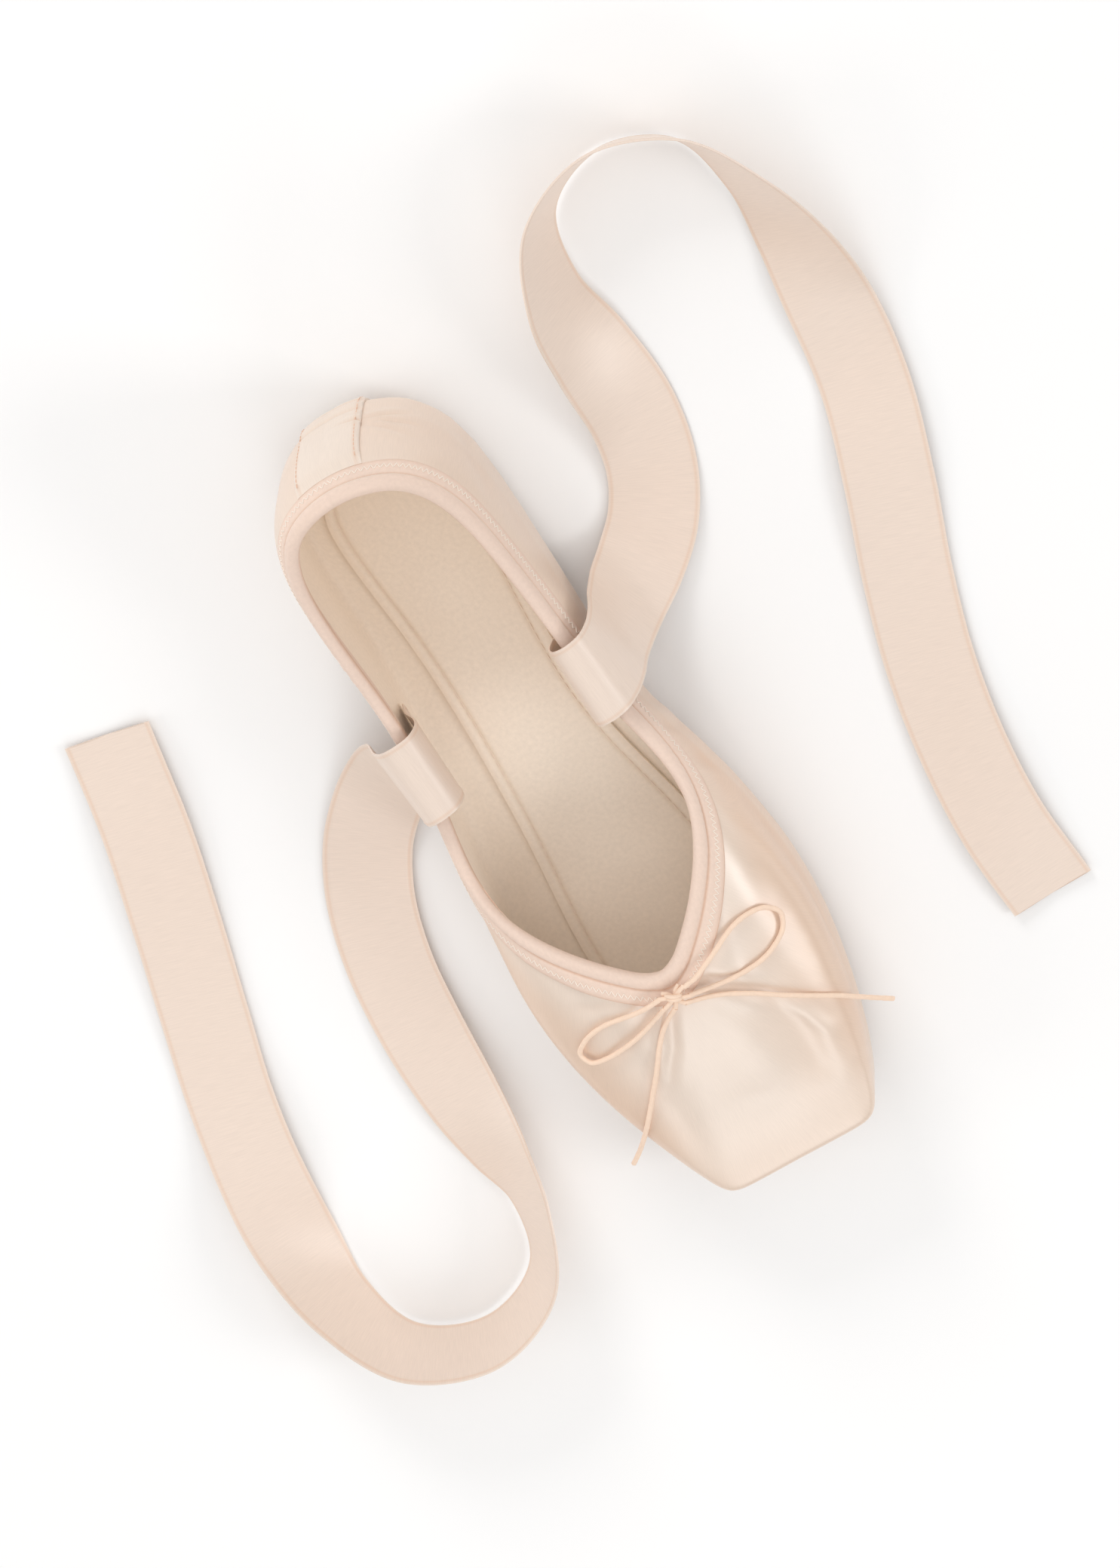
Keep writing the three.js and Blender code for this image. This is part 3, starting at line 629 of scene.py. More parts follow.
# the upper: satin outside, cotton inside
upper = {
    "round": 560, "up": 148, "back": 18, "thick": 0.9,
    "limit": 0.75,                       # no trough is deeper, so that it stays above the lining
    "paintedSideShade": 0.68,                      # strength of the painted shade down the sides
    # soft folds in the satin: points near the surface, depth and half width, all in mm
    "folds": [
        # creases that run out from under the knot
        {"way": [(55, 1, 46), (55, 6, 45), (59, 11, 44), (66, 16, 42), (73, 20, 39)],
         "deep": 0.7, "wide": 2.1},
        {"way": [(70, 20, 40), (79, 23, 37), (87, 26, 35), (92, 26, 33)], "deep": -0.35, "wide": 1.8},
        {"way": [(55, -2, 46), (65, -7, 43), (74, -13, 40), (81, -18, 38)], "deep": 0.45, "wide": 1.6},
        {"way": [(54, -4, 46), (66, -11, 43), (79, -19, 38)], "deep": -0.35, "wide": 1.6},
        {"way": [(55, -7, 45), (60, -15, 43), (65, -24, 40), (69, -30, 37)], "deep": 0.5, "wide": 2.2},
        {"way": [(52, -10, 45), (50, -18, 44), (48, -27, 41)], "deep": 0.3, "wide": 1.8},
        # the vamp's broad valley and the rise beside it
        {"way": [(70, 16, 41), (80, 17, 38), (92, 17, 35), (103, 15, 33)], "deep": 1.0, "wide": 6.8},
        {"way": [(81, 26, 36), (95, 24, 33), (108, 21, 30)], "deep": -0.5, "wide": 3.5},
        {"way": [(14, 35, 32), (26, 33, 38), (40, 28, 41), (56, 24, 41)], "deep": -0.4, "wide": 7.0},
        {"way": [(22, -35, 36), (34, -31, 40), (50, -26, 41)], "deep": -0.3, "wide": 4.0},
        # along the shoulders, just inside the outline
        {"way": [(6, 35, 21), (27, 36, 33), (51, 34, 37), (70, 33, 35), (89, 30, 33), (107, 24, 30)],
         "deep": 0.45, "wide": 4.5},
        {"way": [(31, -34, 37), (59, -32, 37), (83, -30, 34), (103, -27, 30)], "deep": 0.35, "wide": 4.0},
        # along the sides of the box
        {"way": [(30, 39, 22), (55, 39, 20), (80, 36, 18), (100, 30, 15)], "deep": 0.4, "wide": 4.0},
        {"way": [(25, -38, 24), (50, -39, 22), (76, -37, 20), (98, -30, 16)], "deep": 0.45, "wide": 4.0},
        # waist and quarters
        {"way": [(-6, 33, 30), (-2, 34, 22), (2, 34, 14)], "deep": 0.4, "wide": 2.2},
        {"way": [(6, 35, 31), (10, 36, 24), (15, 37, 17)], "deep": 0.4, "wide": 2.2},
        {"way": [(-20, 31, 30), (-12, 32, 20), (-6, 30, 12)], "deep": 0.35, "wide": 3.0},
        {"way": [(-22, -31, 30), (-14, -32, 21), (-10, -30, 12)], "deep": 0.35, "wide": 3.0},
        {"way": [(-60, 29, 30), (-52, 30, 20), (-46, 27, 12)], "deep": 0.28, "wide": 3.5},
        {"way": [(-62, -29, 30), (-54, -30, 21), (-50, -27, 12)], "deep": 0.28, "wide": 3.5},
        {"way": [(-84, 28, 36), (-90, 27, 24), (-96, 22, 12)], "deep": 0.25, "wide": 3.5},
        # small wrinkles that run out from the tuck beside the heel strip
        {"way": [(-117, 9, 29), (-114, 15, 32), (-109, 20, 36)], "deep": 0.4, "wide": 1.3},
        {"way": [(-117, 9, 28), (-114, 16, 28), (-109, 21, 28)], "deep": 0.35, "wide": 1.2},
        {"way": [(-117, 9, 26), (-114, 15, 23), (-110, 20, 20)], "deep": 0.4, "wide": 1.3},
        # and the soft fold in the other quarter
        {"way": [(-84, -28, 36), (-88, -28, 24), (-94, -23, 12)], "deep": 0.25, "wide": 3.5},
    ],
    "pleats": 22, "pleatDeep": 0.8, "pleatSpan": 5.2,  # gathers under the toe
    "gathers": 64, "gatherDeep": 0.22,   # and, much softer, round the rest of the sole
    "gatherWide": 0.09,                  # half width of each, in steps of the last's round
}


def foldHeights(p, s):
    # a soft trough along each line with a low ridge at both sides, fading out towards the line's ends;
    # a negative depth gives a ridge
    flat = p.reshape(-1, 3)
    height = np.zeros(len(flat))
    for f in s["folds"]:
        way, _ = smoothPath(f["way"], 2.5)
        way = flat[((flat[None] - way[:, None]) ** 2).sum(-1).argmin(1)]
        lengths = np.linalg.norm(np.diff(way, axis=0), axis=1)
        starts = np.concatenate([[0], np.cumsum(lengths)[:-1]])
        a, d = way[:-1], np.diff(way, axis=0)
        t = np.clip(((flat[:, None] - a) * d).sum(-1) / np.maximum((d * d).sum(-1), 1e-9), 0, 1)
        off = np.linalg.norm(flat[:, None] - (a + t[..., None] * d), axis=-1)
        near = off.argmin(1)
        each = np.arange(len(flat))
        away = off[each, near]
        gone = (starts[near] + t[each, near] * lengths[near]) / lengths.sum()
        fade = np.sin(np.pi * np.clip(gone * 0.92 + 0.04, 0, 1)) ** 0.7
        w = f["wide"]
        height += f["deep"] * fade * (0.4 * bump(away, 2.0 * w, w) - bump(away, 0, w))
    limit = s["limit"]
    return np.where(height < 0, limit * np.tanh(height / limit), height).reshape(p.shape[:2])


def pleatHeights(rounds, girths, s):
    # narrow folds that gather the satin under the toe, from the sole's edge almost to the platform,
    # and shallow ones round the rest of the sole; each is a bell curve across its place
    fromToe = (rounds - ringSize / 2)[:, None]
    count = np.arange(s["pleats"])
    places = np.linspace(-s["pleatSpan"], s["pleatSpan"], s["pleats"]) + np.sin(count * 5.3) * 0.08
    comb = bump(fromToe[:, :, None], places[None, None], s["gatherWide"]).sum(-1)
    reach = ramp(girths, 0.9, 1.3) * (1 - ramp(girths, 1.9, 2.75)) * (1 - ramp(np.abs(fromToe), 4.6, 5.6))
    count = np.arange(s["gathers"])
    places = np.linspace(0, ringSize, s["gathers"], endpoint=False) + 0.12 * np.sin(count * 2.7)
    size = 0.5 + 0.5 * np.sin(count * 1.9) ** 2
    low = (size * bump(rounds[:, None, None], places[None, None], s["gatherWide"])).sum(-1)
    along = ramp(girths, 1.0, 1.6) * (1 - ramp(girths, 2.2, 4.4)) * ramp(np.abs(fromToe), 4.4, 6.0)
    return s["pleatDeep"] * (comb - 0.35) * reach + s["gatherDeep"] * (low - 0.3) * along


def makeUpper(s):
    # the last's form, plus the quarters' lap over the vamp, the folds and the pleats, and back down inside
    rounds, _ = evenRounds(s["round"])
    p, n, _ = lastForm(rounds, np.linspace(0, topGirth, s["up"]))
    girths = np.broadcast_to(np.linspace(0, topGirth, s["up"]), p.shape[:2])
    fromHeel = np.minimum(rounds, ringSize - rounds)[:, None]
    quarter = 1 - ramp(fromHeel, last["seamAt"] - 0.02, last["seamAt"] + 0.02)
    lap = last["lap"] * quarter * ramp(girths, 1.2, 1.8)
    folds = foldHeights(p, s)
    pleats = pleatHeights(rounds, girths, s)
    quiet = 1 - ramp(girths, 10.2, 10.8)  # no folds under the binding's edge
    outer = p + n * (lap + folds * quiet + pleats)[..., None]
    q, m, _ = lastForm(rounds, np.linspace(topGirth, 0, s["back"]))
    wall = np.concatenate([outer, q - m * s["thick"]], axis=1)
    # painted shade: darker towards the sole and under the sides of the box, where the satin turns away from
    # the light, but less at the quarters and the platform
    sides = s["paintedSideShade"] * (1 - ramp(girths, 5.8, 8.9)) * (0.6 + 0.4 * ramp(girths, 4.2, 6.2))
    sides *= 0.5 + 0.5 * ramp(p[..., 0], -30, 10) - 0.5 * ramp(p[..., 0], 92, 112)
    fold = np.zeros(wall.shape[:2])
    # painted shade: deeper in the troughs of the folds and between the pleats, less on the ridges
    fold[:, :s["up"]] = np.clip(sides - folds * 0.2 - pleats * 0.5, 0, 0.8)
    obj = addMesh("satin_upper", wall, [gridFaces(*wall.shape[:2], True, True)], clothUv(wall),
                  {"fold": fold}, satin)
    return place(obj, "satin", "upper")


lining = {
    "round": 300, "up": 60, "back": 20, "gap": 0.1,  # the gap keeps it clear of the satin
    "thinner": 1.15, "under": (6.5, 2.5),            # by the topline, where the binding comes down inside
}


def makeLining(s):
    # cotton inside, a thin wall from under the satin to the inner face of the CAD wall
    rounds, _ = evenRounds(s["round"])
    girths = np.linspace(0, topGirth, s["up"])
    p, n, _ = lastForm(rounds, girths)
    q, m, _ = lastForm(rounds, np.linspace(topGirth, 0, s["back"]))
    deep = last["wall"] - s["thinner"] * ramp(distanceUnderEdge(rounds, girths), *s["under"])
    wall = np.concatenate([p - n * deep[..., None], q - m * (upper["thick"] + s["gap"])], axis=1)
    obj = addMesh("cotton_lining", wall, [gridFaces(*wall.shape[:2], True, True)], clothUv(wall),
                  {"fold": np.zeros(wall.shape[:2])}, liningCloth)
    return place(obj, "lining", "upper")


makeUpper(upper)
makeLining(lining)
print("upper ready")


# the binding round the topline
binding = {
    "round": 620,
    # distance under the topline and height over the satin, along the strip, over the casing, down inside
    "section": [
        (9.0, 0.05), (9.1, 0.3), (9.0, 0.6), (8.6, 0.78), (7.5, 0.82), (6.2, 0.8), (5.0, 0.78), (4.3, 0.72),
        (3.9, 0.5), (3.65, 0.46), (3.45, 0.65), (3.1, 1.0), (2.5, 1.28), (1.7, 1.42), (0.9, 1.4), (0.2, 1.2),
        (-0.3, 0.85), (-0.65, 0.3), (-0.75, -0.3), (-0.7, -1.0), (-0.4, -1.6), (0.1, -1.95),
        (0.8, -2.15), (1.8, -2.2), (2.6, -2.3), (3.4, -2.6), (4.6, -2.85), (5.7, -2.9),
        (6.0, -2.7), (6.0, -2.3), (4.5, -2.2), (3.0, -1.7), (1.5, -1.25), (0.0, -1.2), (-0.3, -0.9),
        (-0.3, -0.2), (0.0, 0.05), (2.5, 0.05), (6.0, 0.05)],
    "gather": 0.10, "ripple": 0.05,       # how much the casing puckers
    # the inner edge turns a soft corner at the throat, averaged over this many neighbours to each side
    "softSteps": 60, "softWide": 26.0, "softRounds": 1.9, "softBelow": (4.0, 1.5),
}


def makeBinding(s):
    # the section carried round the topline on the last's form, puckered along the casing
    rounds, length = evenRounds(s["round"])
    below, out = np.array(s["section"]).T
    p, n, up = lastForm(rounds, girthsBelowEdge(rounds, np.maximum(below, 0)))
    far = np.arange(len(rounds)) / len(rounds) * length
    swing = np.sin(far * 1.35 + 2 * np.sin(far * 0.11)) * (0.5 + 0.5 * np.sin(far * 0.23 + 1))
    gather = s["gather"] * swing + s["ripple"] * np.sin(far * 3.1)
    roll = bump(below, 1.6, 2.4) * (out > 0.5)
    points = p + n * (out[None] + gather[:, None] * roll[None])[..., None]
    points += unit(up) * -np.minimum(below, 0)[None, :, None]
    steps = np.arange(-s["softSteps"], s["softSteps"] + 1)
    kernel = np.exp(-(steps / s["softWide"]) ** 2)
    soft = sum(w * np.roll(points, k, axis=0) for k, w in zip(steps, kernel / kernel.sum()))
    blend = bump(rounds, ringSize / 2, s["softRounds"])[:, None] * ramp(below, *s["softBelow"])[None]
    points += (soft - points) * blend[..., None]
    # darker along the seam at the strip's edge, and painted shade in the channel beside the casing and where
    # the strip turns inside
    edge = bump(below, 9.0, 0.4) * (out > 0)
    channel = bump(below, 3.75, 0.3) * (out > 0.3) * (out < 1.0)
    turned = bump(out, -1.9, 0.35) * (below > -0.8) * (below < 1.6)
    fold = np.broadcast_to(np.clip(edge + channel + turned, 0, 1) * 0.5, points.shape[:2])
    obj = addMesh("bias_binding", points, [gridFaces(*points.shape[:2], True, True)], clothUv(points),
                  {"fold": fold}, bindingCloth, sharp=70)
    return place(obj, "binding", "binding")


makeBinding(binding)
print("binding ready")


# the heel strip
heelStrip = {
    "half": 9.5, "bottom": 1.45, "top": 8.9,      # half width, lowest girth, and top edge under the topline
    "up": 150, "across": 40,
    "edgeHigh": 1.065, "rise": 0.585, "puff": 0.15, "inside": 0.52, "thinTop": 0.7,  # heights over the last
    # height above the floor, half width and depth of each
    "tucks": [(29.5, 1.2, 0.45), (27.2, 1.0, -0.6), (25.0, 1.0, 0.35)],
    "creases": [(12.0, 1.3, -0.35), (14.5, 1.6, 0.25), (19.0, 1.5, -0.3), (22.0, 1.8, 0.2)],
    "sewnAt": 0.87, "sewnShade": 0.45,
}


def roundsAtY(ys, girths):
    # place round the heel where each height line reaches each y, found by halving
    low, high = np.zeros((len(girths), len(ys))), np.full((len(girths), len(ys)), 3.0)
    want = np.broadcast_to(np.abs(ys), low.shape)
    for _ in range(24):
        half = (low + high) / 2
        p, _, _ = lastForm(half.ravel(), np.repeat(girths, len(ys))[:, None])
        less = p[:, 0, 1].reshape(low.shape) < want
        low, high = np.where(less, half, low), np.where(less, high, half)
    return np.where(ys < 0, ringSize - low, low) % ringSize


def makeHeelStrip(s):
    # a cushioned band up the back of the last's form, tucked at both edges and creased across
    topAt = girthsBelowEdge(np.array([0.0]), [s["top"]])[0, 0]
    girths = np.linspace(s["bottom"], topAt, s["up"])
    ys = np.linspace(-s["half"], s["half"], s["across"])
    rounds = roundsAtY(ys, girths)
    p, n, _ = lastForm(rounds.ravel(), np.repeat(girths, len(ys))[:, None])
    shape = (len(girths), len(ys), 3)
    p, n = p.reshape(shape), n.reshape(shape)
    z = p[..., 2]
    side = np.abs(ys)[None] / s["half"]
    rounded = np.where(side > 0.9, (1 - side) * 10, 1.0)
    tuck = bump(ys[None], s["half"], 4.5) * sum(deep * bump(z, at, wide) for at, wide, deep in s["tucks"])
    level = sum(deep * bump(z, at, wide) for at, wide, deep in s["creases"])
    out = s["edgeHigh"] + s["rise"] * rounded + s["puff"] * np.sin(np.pi * np.clip(1 - side, 0, 1))
    out = out + tuck + level * (1 - side ** 4)
    out = s["thinTop"] + (out - s["thinTop"]) * ramp(girths, topAt, topAt - 0.35)[:, None]
    points = np.concatenate([p + n * out[..., None], (p + n * s["inside"])[:, ::-1]], axis=1)
    shade = np.clip(-(tuck + level) * 0.8, 0, 0.7) + s["sewnShade"] * bump(side, s["sewnAt"], 0.03)
    fold = np.concatenate([shade, np.zeros(shade.shape)], axis=1)
    tube, faces = tubeMesh(points)
    uv = np.concatenate([clothUv(points, True).reshape(-1, 2), np.zeros((2, 2))])
    obj = addMesh("heel_strip_satin", tube, faces, uv, {"fold": capped(fold)}, satin, sharp=60)
    return place(obj, "satin", "heel_strip")


makeHeelStrip(heelStrip)
print("heel strip ready")


# sewing: zigzag on the binding and the side seams, two rows of stitches along the heel strip
sewing = {
    "thread": 0.24, "round": 900, "seamPoints": 160, "stripPoints": 200,
    "bindingAt": 6.5, "bindingHigh": 0.8, "zigWide": 1.5, "zigStep": 0.85,
    "seamFrom": 1.7, "seamTo": 9.4, "seamWide": 2.2, "seamStep": 0.9,  # from a girth to under the binding
    "seamHigh": 0.62, "seamThread": 1.15,  # height as a share of the lap, and how much thicker the thread is
    "stripRow": 8.3, "stripHigh": 1.76, "stitch": 1.7, "stitchStep": 2.5, "arch": 0.12, "sunk": 0.08,
    "warm": 0.8,                         # tone of the heel strip's stitches
}


def threadRings(path, face, thick, sides=6):
    # a round thread along a path that lies on a surface with the given outward direction
    turn = np.linspace(0, 2 * np.pi, sides, endpoint=False)
    outline = np.stack([np.cos(turn), 0.8 * np.sin(turn)], axis=1) * thick / 2
    return sweepRings(path, np.cross(face, unit(np.gradient(path, axis=0))), outline)


def zigzag(middle, sideways, outward, wide, step, thick):
    # a thread that swings from side to side of a line, one swing every step of its length
    far = lengthAlong(middle)
    at = np.arange(0, far[-1], step / 4)
    phase = (at / step) % 2
    swing = np.where(phase < 1, phase * 2 - 1, 3 - phase * 2)
    path = pointsAt(at, far, middle) + unit(pointsAt(at, far, sideways)) * (swing * wide / 2)[:, None]
    return threadRings(path, unit(pointsAt(at, far, outward)), thick)


def stitchRow(line, outward, long, step, thick, arch, sunk):
    # single stitches one after the other along a line, each a short thread that arches out of the cloth
    far = lengthAlong(line)
    t = np.linspace(0, 1, 5)
    row = []
    for start in np.arange(1, far[-1] - long, step):
        at = start + t * long
        face = unit(pointsAt(at, far, outward))
        path = pointsAt(at, far, line) + face * (arch * np.sin(np.pi * t) - sunk)[:, None]
        row.append(threadRings(path, face, thick, 5))
    return row


def makeSewing(s):
    # the pale zigzags come first in the mesh, then the warmer stitches of the heel strip
    rounds, _ = evenRounds(s["round"])
    rounds = np.append(rounds, rounds[:1] + ringSize) % ringSize
    p, n, up = lastForm(rounds, girthsBelowEdge(rounds, [s["bindingAt"]]))
    line = p[:, 0] + n[:, 0] * (s["bindingHigh"] + s["thread"] * 0.3)
    pale = [zigzag(line, up[:, 0], n[:, 0], s["zigWide"], s["zigStep"], s["thread"])]
    for seam in (last["seamAt"], ringSize - last["seamAt"]):
        end = girthsBelowEdge(np.array([seam]), [s["seamTo"]])[0, 0]
        girths = np.linspace(s["seamFrom"], end, s["seamPoints"])
        p, n, _ = lastForm(np.full(len(girths), seam), girths[:, None])
        q, _, _ = lastForm(np.full(len(girths), seam + 0.05), girths[:, None])
        line = p[:, 0] + n[:, 0] * (last["lap"] * s["seamHigh"])
        thick = s["thread"] * s["seamThread"]
        pale.append(zigzag(line, q[:, 0] - p[:, 0], n[:, 0], s["seamWide"], s["seamStep"], thick))
    rows = []
    topAt = girthsBelowEdge(np.array([0.0]), [heelStrip["top"] + 0.6])[0, 0]
    girths = np.linspace(heelStrip["bottom"] + 0.1, topAt, s["stripPoints"])
    for y in (-s["stripRow"], s["stripRow"]):
        p, n, _ = lastForm(roundsAtY(np.array([y]), girths)[:, 0], girths[:, None])
        line = p[:, 0] + n[:, 0] * s["stripHigh"]
        rows += stitchRow(line, n[:, 0], s["stitch"], s["stitchStep"], s["thread"], s["arch"], s["sunk"])
    points, faces = joined(pale + rows)
    warm = np.full(len(points), s["warm"])
    warm[:len(joined(pale)[0])] = 0
    obj = addMesh("sewing_thread", points, faces, np.zeros((len(points), 2)), {"fold": warm}, thread)
    return place(obj, "satin")


makeSewing(sewing)
print("sewing ready")


# the outsole, with a scored lattice under the forefoot
sole = {
    "bevel": 0.8, "end": 103.0,      # inset of the underside, and where the sole ends at the toe
    "rows": 380, "across": 90, "above": 14,
    "wall": [(0.12, 0.35), (0.35, 0.12), (0.8, 0.0), (1.9, -0.02), (2.8, 0.0), (3.0, 0.15)],  # height, inset
    "frontFrom": 12.0,               # the scored forefoot begins here
    "pitchX": 9.6, "pitchY": 7.8, "line": 0.35, "score": 0.22,  # size of a diamond, width and depth of a line
    "bare": (227, 208, 192), "diamonds": (231, 210, 190), "lines": (206, 158, 120),
    "lineEdge": (0.025, 0.085),      # share of a diamond over which a line fades out
    "cloudScale": 60.0, "cloud": (0.3, 0.7), "cloudTone": (0.97, 1.02),
    "napScale": 1800.0, "nap": 0.35, "napHigh": 0.0002,
    "shader": {"Roughness": 0.78, "Specular IOR Level": 0.3},
}


def soleOutline(count):
    # half outline of the sole from heel to toe, as x and half width
    r, _ = evenRounds(1200)
    r = r[r <= ringSize / 2]
    p, _, _ = lastForm(np.append(r, ringSize / 2), [1.0])
    x, y = p[:, 0, 0], p[:, 0, 1]
    angle = np.linspace(0, np.pi, count)
    xs = (x.min() + x.max()) / 2 - (x.max() - x.min()) / 2 * np.cos(angle)
    return xs, np.interp(xs, x, y)


def latticeGroup(s):
    # two crossing families of straight lines as a mask, and the scalloped area that they cover
    g = bpy.data.node_groups.new("scored lattice", "ShaderNodeTree")
    g.interface.new_socket("Place", in_out="INPUT", socket_type="NodeSocketVector")
    g.interface.new_socket("Line", in_out="OUTPUT", socket_type="NodeSocketFloat")
    g.interface.new_socket("Inside", in_out="OUTPUT", socket_type="NodeSocketFloat")
    come, go = node(g, "NodeGroupInput", (-1100, 0)), node(g, "NodeGroupOutput", (500, 0))
    split = node(g, "ShaderNodeSeparateXYZ", (-900, 0))
    g.links.new(come.outputs["Place"], split.inputs[0])
    along = node(g, "ShaderNodeMath", (-700, 100), operation="MULTIPLY")
    along.inputs[1].default_value = 1 / (s["pitchX"] * mm)
    g.links.new(split.outputs["X"], along.inputs[0])
    nearest, rows = [], []
    for sign in (1, -1):
        slant = node(g, "ShaderNodeMath", (-500, 100 * sign), operation="MULTIPLY_ADD")
        slant.inputs[1].default_value = sign / (s["pitchY"] * mm)
        g.links.new(split.outputs["Y"], slant.inputs[0])
        g.links.new(along.outputs[0], slant.inputs[2])
        near = node(g, "ShaderNodeMath", (-300, 100 * sign), operation="PINGPONG")
        near.inputs[1].default_value = 0.5
        row = node(g, "ShaderNodeMath", (-300, 260 * sign), operation="FLOOR")
        for n, kept in ((near, nearest), (row, rows)):
            g.links.new(slant.outputs[0], n.inputs[0])
            kept.append(n)
    least = node(g, "ShaderNodeMath", (-100, 0), operation="MINIMUM")
    total = node(g, "ShaderNodeMath", (-100, 260), operation="ADD")
    for k in (0, 1):
        g.links.new(nearest[k].outputs[0], least.inputs[k])
        g.links.new(rows[k].outputs[0], total.inputs[k])
    line = mapRange(g, (100, 0), s["lineEdge"], (1.0, 0.0))
    line.interpolation_type = "SMOOTHSTEP"
    inside = node(g, "ShaderNodeMath", (100, 260), operation="GREATER_THAN")
    inside.inputs[1].default_value = s["frontFrom"] / (s["pitchX"] / 2)
    drawn = node(g, "ShaderNodeMath", (300, 100), operation="MULTIPLY")
    g.links.new(least.outputs[0], line.inputs["Value"])
    g.links.new(total.outputs[0], inside.inputs[0])
    g.links.new(line.outputs[0], drawn.inputs[0])
    g.links.new(inside.outputs[0], drawn.inputs[1])
    g.links.new(drawn.outputs[0], go.inputs["Line"])
    g.links.new(inside.outputs[0], go.inputs["Inside"])
    return g


def latticeHeights(x, y, s):
    # nearness to two crossing families of lines, only in front of a scalloped edge
    a = x / s["pitchX"] + y / s["pitchY"]
    b = x / s["pitchX"] - y / s["pitchY"]
    off = np.minimum(np.abs(a - np.round(a)), np.abs(b - np.round(b)))
    off = off / math.hypot(1 / s["pitchX"], 1 / s["pitchY"])
    row = np.floor(a) + np.floor(b)
    return bump(off, 0, s["line"]) * ramp(row * s["pitchX"] / 2, s["frontFrom"] - 0.1, s["frontFrom"] + 0.1)


def soleMaterial(s):
    # sueded leather: bare at the waist, darker in the lattice's lines underneath, with a fine nap
    mat = bpy.data.materials.new("sueded sole leather")
    mat.use_nodes = True
    t = mat.node_tree
    shader = t.nodes["Principled BSDF"]
    for key, value in s["shader"].items():
        shader.inputs[key].default_value = value
    where = node(t, "ShaderNodeTexCoord", (-900, 0))
    nap = node(t, "ShaderNodeTexNoise", (-600, 200), Scale=s["napScale"], Detail=4.0, Roughness=0.7)
    cloud = node(t, "ShaderNodeTexNoise", (-600, -100), Scale=s["cloudScale"], Detail=3.0)
    lattice = node(t, "ShaderNodeGroup", (-600, 500), node_tree=latticeGroup(s))
    for socket in (nap.inputs["Vector"], cloud.inputs["Vector"], lattice.inputs["Place"]):
        t.links.new(where.outputs["Object"], socket)
    under = node(t, "ShaderNodeAttribute", (-600, 700), attribute_name="under")
    score = node(t, "ShaderNodeMath", (-450, 600), operation="MULTIPLY")
    t.links.new(lattice.outputs["Line"], score.inputs[0])
    t.links.new(under.outputs["Fac"], score.inputs[1])
    base = node(t, "ShaderNodeMix", (-300, 500), data_type="RGBA")
    base.inputs["A"].default_value = colour(*s["bare"])
    base.inputs["B"].default_value = colour(*s["diamonds"])
    t.links.new(lattice.outputs["Inside"], base.inputs["Factor"])
    lines = node(t, "ShaderNodeMix", (-50, 400), data_type="RGBA")
    lines.inputs["B"].default_value = colour(*s["lines"])
    t.links.new(score.outputs[0], lines.inputs["Factor"])
    t.links.new(base.outputs["Result"], lines.inputs["A"])
    tone = mapRange(t, (-300, -100), s["cloud"], s["cloudTone"])
    t.links.new(cloud.outputs[0], tone.inputs["Value"])
    tint = multiplied(t, (200, 200), lines.outputs["Result"], tone.outputs[0])
    t.links.new(tint, shader.inputs["Base Color"])
    relief = node(t, "ShaderNodeBump", (200, -300), Strength=s["nap"], Distance=s["napHigh"])
    t.links.new(nap.outputs[0], relief.inputs["Height"])
    t.links.new(relief.outputs[0], shader.inputs["Normal"])
    return mat


def makeOutsole(s):
    # rings across the sole from heel to toe: the scored underside, one wall, the top, the other wall
    xs, half = soleOutline(s["rows"])
    xs, half = xs[1:-1], half[1:-1]
    t = np.sin(np.linspace(-np.pi / 2, np.pi / 2, s["across"]))
    x = np.repeat(xs[:, None], len(t), axis=1) * (1 - s["bevel"] / s["end"])
    y = t[None] * np.maximum(half - s["bevel"], 0.3)[:, None]
    bottom = np.stack([x, y, soleProfile(x) + s["score"] * latticeHeights(x, y, s)], axis=-1)
    wall = [np.stack([xs * (1 - inset / s["end"]), half - inset, soleProfile(xs) + high], axis=-1)
            for high, inset in s["wall"]]
    high, inset = s["wall"][-1]
    top = [np.stack([xs * (1 - inset / s["end"]), (half - inset) * k, soleProfile(xs) + high], axis=-1)
           for k in np.linspace(1, -1, s["above"])[1:-1]]
    rest = np.stack(wall + top + [w * [1, -1, 1] for w in wall[::-1]], axis=1)
    points, faces = tubeMesh(np.concatenate([bottom, rest], axis=1))
    under = np.concatenate([np.ones(x.shape), np.zeros(rest.shape[:2])], axis=1)
    obj = addMesh("leather_outsole", points, faces, None, {"under": capped(under)}, soleMaterial(s), sharp=60)
    return place(obj, "sole_leather", "outsole")


insole = {
    "rows": 220, "across": 60, "below": 8, "shrink": 0.995,
    "bottom": 5.95, "crown": 1.75, "edgeDrop": 0.5,   # heights over the sole's profile, in mm
    "rumple": 0.11, "crease": 0.05,
    "seamIn": 3.2, "seamDeep": 0.22, "seamWide": 0.7,  # the sewn groove, inside the edge
    "stitch": 2.2, "stitchStep": 3.1, "stitchThick": 0.3, "stitchHigh": 1.62, "arch": 0.16, "shade": 0.25,
}


